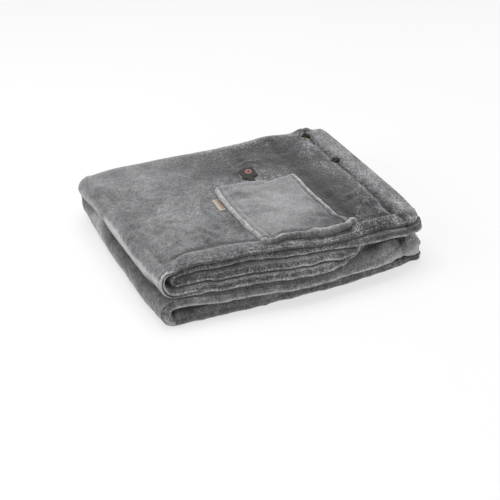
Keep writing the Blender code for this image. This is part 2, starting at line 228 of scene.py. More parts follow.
CREST_X = (-0.200, -0.170, -0.130, -0.082, -0.040, -0.020, 0.000, 0.096, 0.112, 0.140, 0.160, 0.174)
CREST_Y = (
    (-0.1400, -0.1300, -0.1150, -0.1215, -0.1325, -0.1365, -0.1370, -0.1380)
    + (-0.1385, -0.1380, -0.1378, -0.1430)
)
CREST_RISE = (
    (0.0000, 0.0010, 0.0018, 0.0022, 0.0026, 0.0030, 0.0034, 0.0034)
    + (0.0048, 0.0046, 0.0044, 0.0000)
)
CREST_WIDTH = 0.0062
HEM_GROOVE = (0.0075, 0.0030, 0.0012)  # how far behind the crest, half width, depth
FOOT_X = (-0.036, -0.020, 0.000, 0.014, 0.036, 0.051, 0.068, 0.086, 0.100)
FOOT_Y = (-0.1370, -0.1395, -0.1350, -0.1385, -0.1440, -0.1465, -0.1460, -0.1440, -0.1415)
UNDER_FOOT = (-0.030, -0.010, 0.090, 0.104)  # the hem is pressed down in front of the pocket's foot
FOOT_GROOVE = (-0.0024, 0.0026, 0.0022)  # how far before the foot, half width, depth
HEM_ROUND = (0.0024, 0.018)  # the hem's top face falls by this to its edge, from this far behind it

CREASES = (
    # x, y, x, y, half width, height: ridges are above zero and troughs below
    (-0.100, -0.062, -0.085, -0.098, 0.0030, -0.0016),
    (-0.094, -0.060, -0.078, -0.094, 0.0028, 0.0012),
    (-0.102, -0.086, -0.101, -0.108, 0.0042, -0.0022),
    (-0.110, -0.080, -0.110, -0.104, 0.0040, 0.0009),
    (-0.072, -0.060, -0.058, -0.090, 0.0040, 0.0007),
    (0.027, 0.088, 0.043, 0.096, 0.0032, 0.0016),
    (0.043, 0.096, 0.060, 0.091, 0.0032, 0.0016),
    (0.060, 0.091, 0.062, 0.076, 0.0036, 0.0011),
    (0.038, 0.140, 0.036, 0.106, 0.0070, -0.0020),
    (0.036, 0.106, 0.022, 0.088, 0.0060, -0.0020),
    (0.021, 0.122, 0.014, 0.094, 0.0050, 0.0012),
    (0.074, 0.084, 0.092, 0.070, 0.0060, -0.0016),
    (0.100, 0.138, 0.098, 0.108, 0.0060, -0.0018),
    (0.140, 0.128, 0.112, 0.104, 0.0050, -0.0020),
    (0.152, 0.122, 0.126, 0.096, 0.0060, 0.0012),
    (0.103, 0.086, 0.103, 0.030, 0.0110, -0.0024),
    (0.103, 0.030, 0.106, -0.050, 0.0100, -0.0020),
    (0.106, -0.050, 0.108, -0.112, 0.0080, -0.0024),
    (0.117, -0.068, 0.132, -0.032, 0.0040, 0.0016),
    (0.134, -0.063, 0.166, -0.047, 0.0042, 0.0022),
    (0.122, -0.078, 0.148, -0.062, 0.0046, -0.0026),
    (0.122, -0.110, 0.138, -0.092, 0.0045, 0.0040),
    (0.138, -0.092, 0.156, -0.086, 0.0042, 0.0032),
    (0.156, -0.086, 0.166, -0.094, 0.0040, 0.0018),
    (0.132, -0.112, 0.150, -0.100, 0.0042, -0.0026),
    (0.151, -0.110, 0.156, -0.127, 0.0040, 0.0026),
    (0.167, -0.096, 0.170, -0.128, 0.0048, -0.0038),
    (0.184, -0.100, 0.183, -0.114, 0.0060, 0.0024),
    (0.1792, -0.1184, 0.1754, -0.1493, 0.0048, -0.0046),
    (0.168, -0.139, 0.178, -0.148, 0.0042, 0.0030),
    (0.150, 0.158, 0.166, 0.142, 0.0040, -0.0030),
    (-0.160, 0.090, -0.140, 0.030, 0.0120, -0.0008),
    (-0.140, 0.020, -0.112, -0.040, 0.0140, 0.0008),
)
SIDE_GROOVE = (0.0027, 0.0019)  # half width and depth of the side hem's stitching
SIDE_SWELL = (0.009, 0.008, 0.0012)  # the hem swells past it: how far, half width, rise
HEM_GRAIN = (0.00030, 0.010)  # rise and cell of the front hem's unevenness, on both its faces
HEM_PUCKER = (0.0007, 0.0085)  # rise and cell of the small puckers along the stitching
PUCKER_REACH = (0.012, 0.014)  # how far they reach from the side seam and from the front crest
KNOB = (0.0995, -0.1455, 0.0072, 0.0060)  # bunched cloth at the pocket's foot: x, y, radius, rise
KNOB_LENGTH = 1.4  # the knob is this much longer along Y
TOP_GRAIN = ((0.0010, 0.046), (0.00055, 0.019), (0.00025, 0.0078))  # rise and cell, coarse to fine
BACK_WAVES = (
    # x, half width, rise of the top face near the back fold, where it starts and is full
    (0.102, 0.034, 0.0066, 0.100, 0.150),
    (0.1690, 0.0135, 0.0098, 0.136, 0.156),
    (-0.190, 0.030, -0.0040, 0.100, 0.150),
    (-0.110, 0.030, -0.0010, 0.100, 0.150),
)
BACK_FOLD_GRAIN = ((0.0016, 0.035), (0.0007, 0.012))
LEFT_TURN_GRAIN = ((0.0013, 0.034), (0.0006, 0.013))
FOLD_RIDGE = (0.47, 0.075, 0.0016)  # how far round the upper left turn, half width, rise
UNDER_SWELLS = (
    # the hem under the corner swells up into the space where the crease is pulled in
    (0.136, -0.156, 0.030, 0.022, 6, 0.0090),
    (0.184, -0.150, 0.014, 0.026, 0, 0.0160),
)
UNDER_CREASES = (
    (0.170, -0.180, 0.168, -0.135, 0.0034, -0.0070),
    (0.150, -0.150, 0.130, -0.140, 0.0050, -0.0010),
)

# ---- the lie of the pile, and painted light: patches brushed dark or light, painted shade and highlights ---
NAP_AND_CREASE_SHADE_PATCHES = (
    # x, y, half length, half width, turn in degrees, shade; many lie along the creases, as painted shade
    # in their troughs and painted highlights on their ridges
    (0.120, -0.005, 0.040, 0.150, 0, -2.30),
    (0.036, 0.105, 0.085, 0.042, 0, -1.20),
    (0.104, -0.005, 0.100, 0.016, 88, -1.70),
    (0.143, 0.050, 0.045, 0.012, 88, 0.85),
    (0.102, 0.080, 0.018, 0.016, 0, -1.05),
    (0.123, -0.078, 0.022, 0.012, 60, -0.75),
    (0.112, -0.108, 0.012, 0.018, 0, -0.70),
    (0.146, -0.068, 0.020, 0.008, 20, -0.40),
    (0.100, 0.124, 0.012, 0.017, 10, -1.05),
    (0.124, 0.112, 0.024, 0.009, 40, -0.85),
    (0.150, 0.060, 0.016, 0.012, 30, -0.35),
    (0.036, 0.116, 0.011, 0.030, 5, -1.30),
    (0.060, 0.136, 0.016, 0.008, -15, -0.95),
    (0.012, 0.076, 0.014, 0.012, -30, -1.10),
    (0.078, 0.078, 0.020, 0.011, -20, -0.50),
    (-0.036, 0.070, 0.034, 0.012, -8, -0.35),
    (-0.080, 0.120, 0.030, 0.010, 0, -0.25),
    (-0.096, -0.098, 0.010, 0.016, 10, -0.60),
    (-0.060, -0.074, 0.030, 0.018, -30, -0.25),
    (-0.047, -0.075, 0.045, 0.005, 87, -0.50),
    (-0.184, 0.070, 0.040, 0.012, 85, -0.45),
    (-0.180, -0.020, 0.050, 0.011, 88, -0.35),
    (-0.176, -0.105, 0.026, 0.012, 80, -0.55),
    (0.140, 0.010, 0.018, 0.014, 60, 0.45),
    (0.044, 0.097, 0.018, 0.004, 10, 0.60),
    (-0.110, -0.020, 0.040, 0.030, 40, 0.22),
    (-0.120, 0.110, 0.060, 0.022, 10, 0.18),
    (0.072, 0.150, 0.030, 0.010, 0, 0.25),
    (-0.020, 0.126, 0.030, 0.010, 10, 0.15),
    (0.110, 0.150, 0.014, 0.008, 0, 0.20),
)
CREASE_PAINTED_LIGHT_MARKS = (
    # the same for small marks that follow a crease, so their outlines don't wander: painted shade in its
    # pits and troughs, painted highlights on its ridges
    (0.1690, -0.112, 0.0045, 0.018, 0, -1.00),
    (0.1781, -0.1367, 0.0050, 0.0105, 8, -2.00),
    (0.1930, -0.092, 0.0050, 0.006, 0, 0.35),
    (0.1880, -0.020, 0.0085, 0.150, 0, 0.22),
    (0.1930, -0.112, 0.0050, 0.014, 0, 0.20),
    (0.1300, -0.102, 0.0130, 0.0036, 48, 0.95),
    (0.1470, -0.089, 0.0110, 0.0036, 15, 0.75),
    (0.1540, -0.119, 0.0034, 0.0080, 0, 0.70),
    (0.1480, -0.107, 0.0080, 0.0034, 30, -0.50),
    (0.1500, -0.055, 0.0160, 0.0036, 25, 0.60),
    (0.1240, -0.048, 0.0180, 0.0036, 65, 0.55),
    (0.1240, -0.086, 0.0150, 0.0060, 70, -0.70),
)
NAP_WANDER = ((0.0050, 0.0120), (0.0026, 0.0062))  # rise and cell that make the patches ragged
LINE_WANDER = 0.2  # a line along a hem follows this part of that wander
KNOB_SHADE = 1.1

# Lines of painted light along the hems: a painted highlight on the crest and on the second roll, painted
# shade in the stitched grooves and the side seam, and a painted highlight on the swell beside that seam.
# Each row: how far from the hem's own line, half width, shade, whether the shade changes along it.
CREST_LINE = (-0.0010, 0.0045)
CREST_HIGHLIGHT = (0.22, 0.50)  # of that line's painted highlight, at the left and at the right
GROOVE_SHADE = ((HEM_GROOVE[0], 0.0036, -0.60, False),)
BEFORE_FOOT_SHADE = (
    (FOOT_GROOVE[0], 0.0030, -0.60, False),
    (FOOT_GROOVE[0] - 0.0060, 0.0024, 0.30, True),
)
SIDE_SEAM_SHADE = (
    (0.0004, 0.0018, -0.85, True),
    (-0.0052, 0.0024, 0.20, False),
)

INNER_ROWS = ("second", "third", "tongue")
FOLD_LINE_WIDTH = 0.085  # of the bright line along the fold's ridge: the pile parts there, and a painted highlight lights it
FOLD_LINE_Y = (-0.150, -0.130, -0.080, 0.000, 0.040, 0.056, 0.070, 0.110, 0.140, 0.155)
FOLD_LINE_HIGHLIGHT = (1.1, 1.6, 1.4, 1.7, 1.3, 0.4, 0.7, 0.9, 0.5, -0.2)
UNDER_PAINTED_LIGHT = (
    # x, y, half length, half width, turn, shade: patches of the hem under the corner, painted light on
    # its bulge where the layer above shades it, painted shade in its groove at x 0.169, and a dark spot
    (0.121, -0.158, 0.012, 0.008, 0, -1.10),
    (0.148, -0.164, 0.020, 0.012, 0, 0.35),
    (0.190, -0.156, 0.012, 0.016, 0, 0.40),
    (0.169, -0.160, 0.0025, 0.024, 0, -0.90),
    (0.020, -0.176, 0.060, 0.010, 0, 0.15),
)
LOWER_TURN_PAINTED_LIGHT = (
    # y, z, half length, half height, turn, shade: patches of the lower left turn, painted shade along
    # its upper part towards the front, under the turn above, painted light low down, and two light
    # patches towards the back
    (0.096, 0.030, 0.024, 0.012, 0, 0.90),
    (0.066, 0.020, 0.012, 0.012, 0, 0.60),
    (0.030, 0.030, 0.026, 0.010, 0, -0.60),
    (-0.060, 0.030, 0.080, 0.010, 0, -0.55),
    (-0.080, 0.012, 0.060, 0.007, 0, 0.35),
    (0.000, 0.008, 0.050, 0.007, 0, 0.25),
)

# ---- what is sewn on the top face ------------------------------------------------------------
SEAT_GAP = 0.0005  # between the top face and what is sewn on it
POCKET_CLOTH = 0.0030
POCKET_LEFT_Y = (-0.143, -0.134, -0.118, -0.090, -0.050, 0.000, 0.033)
POCKET_LEFT_X = (-0.0260, -0.0325, -0.0345, -0.0380, -0.0405, -0.0400, -0.0365)
POCKET_RIGHT_Y = (-0.143, -0.134, -0.106, -0.040, 0.033)
POCKET_RIGHT_X = (0.1035, 0.0985, 0.0905, 0.0870, 0.0885)
MOUTH_X = (-0.041, -0.031, -0.014, 0.006, 0.027, 0.046, 0.066, 0.081, 0.089)
MOUTH_Y = (0.0210, 0.0310, 0.0295, 0.0265, 0.0240, 0.0160, 0.0220, 0.0250, 0.0235)
POCKET_SIZE = (0.130, 0.165)  # nominal width and length
POCKET_RIM = (
    # part of the way across, how far it stands out past the edge, part of the full thickness
    (0.0, 0.0012, 0.0),
    (0.0, 0.0011, 0.5),
    (0.0, 0.0006, 0.85),
    (0.006, 0.0, 1.0),
    (0.016, 0.0, 1.0),
)
MOUTH_LIFT = 0.0030
FOOT_ROLL = ((0.0050, 0.0036, 0.0026, True),)  # the pocket's foot is rolled, and fades at its right
POCKET_RELIEF = {
    # edge: how far from it, half width, rise, whether it is lumpy
    "left": (
        (0.0024, 0.0023, 0.0026, True),
        (0.0064, 0.0014, -0.0005, False),
        (0.0112, 0.0026, 0.0008, False),
        (0.0150, 0.0013, -0.0004, False),
    ),
    "right": (
        (0.0028, 0.0026, 0.0036, True),
        (0.0064, 0.0012, -0.0009, False),
        (0.0090, 0.0018, 0.0012, True),
        (0.0120, 0.0016, -0.0007, False),
    ),
    "mouth": ((0.013, 0.0012, -0.0005, False),),
    "foot": ((0.0135, 0.0030, -0.0012, True),),
}
POCKET_PAINTED_LIGHT = {
    # the same with painted light instead of the rise: painted highlights on the beads, lip and rolls,
    # painted shade in the valleys beside them
    "left": (
        (0.0022, 0.0024, 0.75, True),
        (0.0066, 0.0016, -0.25, False),
        (0.0110, 0.0030, 0.16, False),
        (0.0160, 0.0030, -0.12, False),
    ),
    "right": (
        (0.0026, 0.0026, 0.95, True),
        (0.0066, 0.0014, -0.90, False),
        (0.0092, 0.0018, 0.30, True),
    ),
    "mouth": ((0.0015, 0.0016, 0.25, False),),
    "foot": (
        (0.0048, 0.0034, 0.55, True),
        (0.0135, 0.0030, -0.60, True),
    ),
}
POCKET_GRAIN = ((0.0009, 0.038), (0.0003, 0.013))
POCKET_CREASES = (
    # x, y, x, y, half width, height
    (-0.010, 0.010, 0.060, -0.004, 0.0080, 0.0008),
    (-0.018, -0.010, 0.010, -0.018, 0.0060, -0.0009),
    (0.030, -0.020, 0.076, -0.050, 0.0060, 0.0006),
    (0.060, -0.095, 0.090, -0.110, 0.0070, -0.0020),
    (0.010, -0.100, 0.050, -0.118, 0.0090, -0.0010),
)
POCKET_LIGHT_AND_SHADE_PATCHES = (
    # x, y, half length, half width, turn in degrees, shade: mostly painted shade in the pocket's
    # wrinkles and by its right seam, and painted highlights on its swells
    (0.098, -0.138, 0.009, 0.007, 40, 0.55),
    (0.076, -0.112, 0.024, 0.015, -25, -1.25),
    (0.080, -0.070, 0.030, 0.007, 80, -0.40),
    (-0.012, -0.004, 0.024, 0.006, -8, -0.50),
    (0.040, -0.124, 0.034, 0.009, -3, -0.60),
    (0.010, 0.020, 0.040, 0.006, -2, -0.25),
    (0.045, -0.040, 0.050, 0.020, -50, 0.45),
    (0.014, -0.090, 0.030, 0.012, -50, 0.25),
    (-0.010, -0.060, 0.040, 0.008, 80, -0.15),
)

TAB_SIZE = (0.0095, 0.0330, 0.0011)
TAB_AT = (-0.0476, -0.0140)
TAB_CLOTH = 0.00048
TAB_WAVE = (0.0004, 130)  # rise of its wave at the fold, and the wave's radians in a metre
TAB_BAR = (0.0035, 0.0038, 0.0135)  # the woven bar: how far right of the middle, half width, half length
PATCH_SIZE = (0.0232, 0.0225, 0.0016)
PATCH_AT = (0.0280, 0.0562)
PATCH_RISE = 0.0040  # the cloth under it slopes up by this from its foot to its far edge
PATCH_TURN = math.radians(2)
PATCH_SKEW = 0.10  # the cloth under it has pulled it a little out of square
PATCH_CORNER = 0.002
PATCH_SINK = 0.0002  # the cloth is pressed down by this under it
PATCH_RAISE = 0.0006  # it lies this much over the cloth, to clear its finest relief
PATCH_BEVEL = 0.0005
TAIL_SIZE = (0.0095, 0.0210)
TAIL_OFFSET = -0.0015
SYMBOL_OFFSET = (0.0008, 0.0016)  # from the patch's middle
LENS = (0.0055, 0.0052, 0.0004)  # radius at its foot, radius at its top, height
SYMBOL_HEIGHT = 0.00035
RING_RADIUS = 0.0043
RING_LINE = 0.00036  # half width of the ring's and the bar's line
RING_GAP = math.radians(34)  # half of the ring's gap
BAR = (0.0031, 0.0042)  # y of its middle, length
STUD_RADIUS = 0.0068
STUD_HEIGHT = 0.0026
STUD_DENT, STUD_DEPTH = 0.0080, 0.0026  # the pile dips under a stud
STUD_RING = (0.0028, 0.0024, 0.0014)  # and rises round it: past the dent, half width, rise
STUDS = {"press_stud_front": (0.1715, 0.0490), "press_stud_back": (0.1672, 0.1425)}
STUD_PROFILE = (
    # parts of the stud's radius and height, from the crown of the dome out and down
    (0.00, 0.90),
    (0.20, 0.88),
    (0.36, 0.82),
    (0.50, 0.70),
    (0.58, 0.58),
    (0.64, 0.54),
    (0.70, 0.62),
    (0.76, 0.86),
    (0.83, 0.98),
    (0.90, 0.98),
    (0.96, 0.84),
    (1.00, 0.56),
    (1.00, 0.30),
    (0.95, 0.00),
    (0.00, 0.00),
)
STITCH = {"Spacing": 0.0042, "Stitch length": 0.0030, "Thread radius": 0.00034}
STITCH_RISE = 0.0001  # of the thread's middle over the groove


# ---- small mathematics -----------------------------------------------------------------------
def smooth(value, start, end):
    """0 before start and 1 past end, with a soft passage between them."""
    part = np.clip((np.asarray(value, float) - start) / (end - start), 0.0, 1.0)
    return part * part * (3.0 - 2.0 * part)


def mixed(first, last, part):
    return first + (last - first) * part


def bell(value, middle, width):
    """1 at the middle, and softly down to 0 on both sides of it."""
    return np.exp(-(((value - middle) / width) ** 2))


def marks(distance, lumps, table):
    """The sum of soft lines beside an edge; lumps changes the lumpy ones along it."""
    return sum(
        value * bell(distance, at, width) * (lumps if is_lumpy else 1.0)
        for at, width, value, is_lumpy in table
    )


def read_table(at, columns, row):
    """A table's value, read smoothly between its columns."""
    at = np.clip(at, columns[0], columns[-1])
    columns, row = np.array(columns), np.array(row)
    i = np.clip(np.searchsorted(columns, at) - 1, 0, len(columns) - 2)
    part = (at - columns[i]) / (columns[i + 1] - columns[i])
    return mixed(row[i], row[i + 1], part * part * (3.0 - 2.0 * part))


def soft_noise(u, v, cell, seed):
    """Random heights from -1 to 1 on a square lattice, joined smoothly."""
    heights = np.random.default_rng(seed).uniform(-1, 1, (61, 53))
    a, b = np.broadcast_arrays(np.asarray(u, float) / cell, np.asarray(v, float) / cell)
    i, j = np.floor(a).astype(int), np.floor(b).astype(int)
    f, g = smooth(a - i, 0, 1), smooth(b - j, 0, 1)
    low = mixed(heights[i % 61, j % 53], heights[(i + 1) % 61, j % 53], f)
    high = mixed(heights[i % 61, (j + 1) % 53], heights[(i + 1) % 61, (j + 1) % 53], f)
    return mixed(low, high, g)


def layered_noise(u, v, layers, seed):
    """Soft noises of these rises and cells on top of one another, the first with this seed."""
    return sum(rise * soft_noise(u, v, cell, seed + i) for i, (rise, cell) in enumerate(layers))


def wandered(x, y, seed):
    """Places moved at random, so that what is read there has a ragged outline."""
    for rise, cell in NAP_WANDER:
        x = x + rise * soft_noise(x, y, cell, seed)
        y = y + rise * soft_noise(x, y, cell, seed + 1)
    return x, y


def patches(x, y, table):
    """The sum of soft oval patches of this table, each with its own height or shade."""
    total = np.zeros(np.broadcast(x, y).shape)
    for at_x, at_y, length, width, turn, rise in table:
        angle = math.radians(turn)
        along = (x - at_x) * math.cos(angle) + (y - at_y) * math.sin(angle)
        across = (y - at_y) * math.cos(angle) - (x - at_x) * math.sin(angle)
        total = total + rise * np.exp(-((along / length) ** 2) - (across / width) ** 2)
    return total


def creases(x, y, table):
    """The sum of soft ridges and troughs, each along its own line."""
    total = np.zeros(np.broadcast(x, y).shape)
    for x0, y0, x1, y1, width, rise in table:
        dx, dy = x1 - x0, y1 - y0
        part = np.clip(((x - x0) * dx + (y - y0) * dy) / (dx * dx + dy * dy), 0, 1)
        away = np.hypot(x - x0 - part * dx, y - y0 - part * dy)
        total = total + rise * bell(away, 0.0, width)
    return total


# ---- the top face ----------------------------------------------------------------------------
def droop(x, y):
    return CORNER_DROOP * smooth(x, *DROOP_X) * smooth(y, *DROOP_Y)


def top_height(x, y):
    """The top face before its relief, as on the solid."""
    return TOP_Z + patches(x, y, SWELLS) - droop(x, y)


def front_edge(layer, x, below):
    """y of a layer's front edge, with the lumps of its rim."""
    table = FRONT_EDGE if not below else LOWER_EDGE
    edge = read_table(x, EDGE_X, table[layer])
    seed = 10 * sorted(FRONT_EDGE).index(layer) + (5 if below else 0)
    edge = edge + layered_noise(x, 0, EDGE_LUMPS, seed + 1)
    for bumped_layer, pack, at_x, width, back in EDGE_BUMPS:
        if bumped_layer == layer and (pack == "below") == below:
            edge = edge + back * bell(x, at_x, width)
    return edge


def round_corner(from_end, radius):
    """How far the front edge draws back this near to the sheet's free end."""
    near = np.clip(radius - from_end, 0, radius)
    return radius - np.sqrt(radius**2 - near**2)


def crest_y(x):
    """The crest of the hem's roll wanders a little along the front."""
    return read_table(x, CREST_X, CREST_Y) + 0.0012 * soft_noise(x, 0, 0.023, 31)


def foot_y(x):
    """y of the pocket's foot, which wanders along the hem."""
    return read_table(x, FOOT_X, FOOT_Y) + 0.0008 * soft_noise(x, 0, 0.011, 79)


def under_pocket(x):
    """1 where the pocket's foot is rolled into the hem, else 0."""
    return smooth(x, *UNDER_FOOT[:2]) * (1 - smooth(x, *UNDER_FOOT[2:]))


def side_seam_x(y):
    """Where the side hem is stitched on the top face."""
    return ENDS["free_end"][0] - SIDE_HEM + 0.0012 * soft_noise(y, 0, 0.031, 33)


def top_relief(x, y):
    """Ridges and troughs of the top face, up from top_height."""
    behind, from_seam = y - crest_y(x), x - side_seam_x(y)
    rise = read_table(x, CREST_X, CREST_RISE) * (1 + 0.38 * soft_noise(x, 0, 0.013, 34))
    height = rise * bell(behind, 0.0, CREST_WIDTH * np.where(behind > 0, 0.75, 1.5))
    back, width, depth = HEM_GROOVE
    height -= depth * puckered(x, 35) * bell(behind, back, width)
    front, width, depth = FOOT_GROOVE
    height -= depth * under_pocket(x) * bell(y - foot_y(x), front, width)

    width, depth = SIDE_GROOVE
    height -= depth * puckered(y, 37) * bell(from_seam, 0.0, width)
    past, width, rise = SIDE_SWELL
    height += rise * bell(from_seam, past, width)
    rise, cell = HEM_PUCKER
    near_seam = bell(from_seam, 0.0, PUCKER_REACH[0]) + bell(behind, 0.0, PUCKER_REACH[1])
    height += rise * near_seam * soft_noise(x, y, cell, 38)

    height += creases(x, y, CREASES)
    height += KNOB[3] * knob(x, y) * (1 + 0.35 * soft_noise(x, y, 0.0045, 39))
    height += layered_noise(x, y, TOP_GRAIN, 40)
    for at_x, width, rise, start, full in BACK_WAVES:
        height += rise * bell(x, at_x, width) * smooth(y, start, full)
    past, width, rise = STUD_RING
    for place in STUDS.values():
        away = np.hypot(x - place[0], y - place[1])
        seat = np.exp(-((away / STUD_DENT) ** 6))
        height = height * (1 - seat) - STUD_DEPTH * seat
        height += rise * bell(away, STUD_DENT + past, width)
    return mixed(height, patch_slope(y) - PATCH_SINK, patch_cover(x, y))


def puckered(along, seed):
    """How much deeper or shallower a seam's groove is at each place along it."""
    return 1 + 0.6 * soft_noise(along, 0, 0.009, seed)


def knob(x, y):
    """1 in the middle of the bunched cloth, down to 0 round it."""
    knob_x, knob_y, radius, _ = KNOB
    return bell(np.hypot(x - knob_x, (y - knob_y) / KNOB_LENGTH), 0.0, radius)


def patch_slope(y):
    """How far the patch's plane is above the flat top face."""
    return PATCH_RISE * np.clip((y - PATCH_AT[1]) / PATCH_SIZE[1] + 0.5, 0.0, 1.3)


def patch_cover(x, y):
    """1 under the stiff leather patch, else 0."""
    dx, dy = x - PATCH_AT[0], y - PATCH_AT[1]
    across = dx * math.cos(PATCH_TURN) + dy * math.sin(PATCH_TURN)
    along = dy * math.cos(PATCH_TURN) - dx * math.sin(PATCH_TURN)
    beside = np.abs(across) - PATCH_SIZE[0] / 2
    beyond = np.abs(along) - PATCH_SIZE[1] / 2
    return (1 - smooth(beside, 0.001, 0.007)) * (1 - smooth(beyond, 0.001, 0.009))


def top_surface(x, y):
    """The finished top face over a point."""
    return top_height(x, y) + top_relief(x, y)


# ---- the fold map ----------------------------------------------------------------------------
def end_x(name, y, below):
    above_x, below_x = ENDS[name]
    if name in TUCKS:
        above_x = above_x + read_table(y, TUCK_Y, TUCKS[name][0])
        below_x = below_x + read_table(y, TUCK_Y, TUCKS[name][1])
    return mixed(above_x, below_x, below)


def section_point(row, part, y, below):
    """x, level and outward normal of the section at this part of one of its rows."""
    name, kind, first, last, start, end, side, _ = row
    start_x = end_x(start, y, below)
    if kind == "run":
        x = mixed(start_x, end_x(end, y, below), part)
        return x, first * PITCH, 0.0, side
    turn_side = TURN_SIDE[name]
    radius = abs(last - first) * PITCH / 2
    upwards = 1 if last > first else -1
    angle = math.pi * part
    x = start_x + turn_side * radius * math.sin(angle)
    level = (first + last) * PITCH / 2 - upwards * radius * math.cos(angle)
    return x, level, side * turn_side * math.sin(angle), -side * upwards * math.cos(angle)


def across_stations():
    """(row number, part, stand out past the end, thickness, flat distance) along the section."""
    stations = []
    flat = 0.0
    final = len(SECTION) - 1
    for number, row in enumerate(SECTION):
        length = RUN_LENGTH if row[1] == "run" else math.pi * abs(row[3] - row[2]) * PITCH / 2
        steps = row[-1]
        if number in (0, final):
            hem = [(0.0, stand, thick) for stand, thick in RIM_PROFILE]
            hem += [(reach / length, 0.0, thick) for reach, thick in hem_thickness(SIDE_HEM)]
            past = hem[-1][0]
            hem += [(mixed(past, 1.0, k / steps), 0.0, 1.0) for k in range(1, steps + 1)]
            if number == final:
                hem = [(1.0 - part, stand, thick) for part, stand, thick in reversed(hem)][1:]
        else:
            hem = [(k / steps, 0.0, 1.0) for k in range(1, steps + 1)]
        stations += [(number, part, out, thick, flat + part * length) for part, out, thick in hem]
        flat += length
    return stations


def hem_thickness(width):
    """(distance from the edge, part of the thickness) over a hem and its stitching."""
    swollen = [(reach, thick) for reach, thick in HEM_SWELL if reach < width - 0.003]
    return swollen + [(width + past, thick) for past, thick in HEM_STITCHING]


def along_stations(steps_above, steps_turn, steps_below):
    """(where, part of the way, stand out, thickness, flat distance) from the front edge above,
    over the back, to the front edge below."""
    stations = []
    for where, steps in (("above", steps_above), ("below", steps_below)):
        hem = [(0.0, stand, thick) for stand, thick in RIM_PROFILE]
        hem += [(reach / LAYER_DEPTH, 0.0, thick) for reach, thick in hem_thickness(FRONT_HEM)]
        past = hem[-1][0]
        hem += [(mixed(past, 1.0, k / steps), 0.0, 1.0) for k in range(1, steps + 1)]
        stations.append([(where, way, out, thick, way * LAYER_DEPTH) for way, out, thick in hem])
    above, below = stations
    turn = [
        ("turn", k / steps_turn, 0.0, 1.0, LAYER_DEPTH + BACK_TURN_LENGTH * k / steps_turn)
        for k in range(1, steps_turn)
    ]
    far = 2 * LAYER_DEPTH + BACK_TURN_LENGTH
    below = [(where, way, out, thick, far - flat) for where, way, out, thick, flat in reversed(below)]
    return above + turn + below


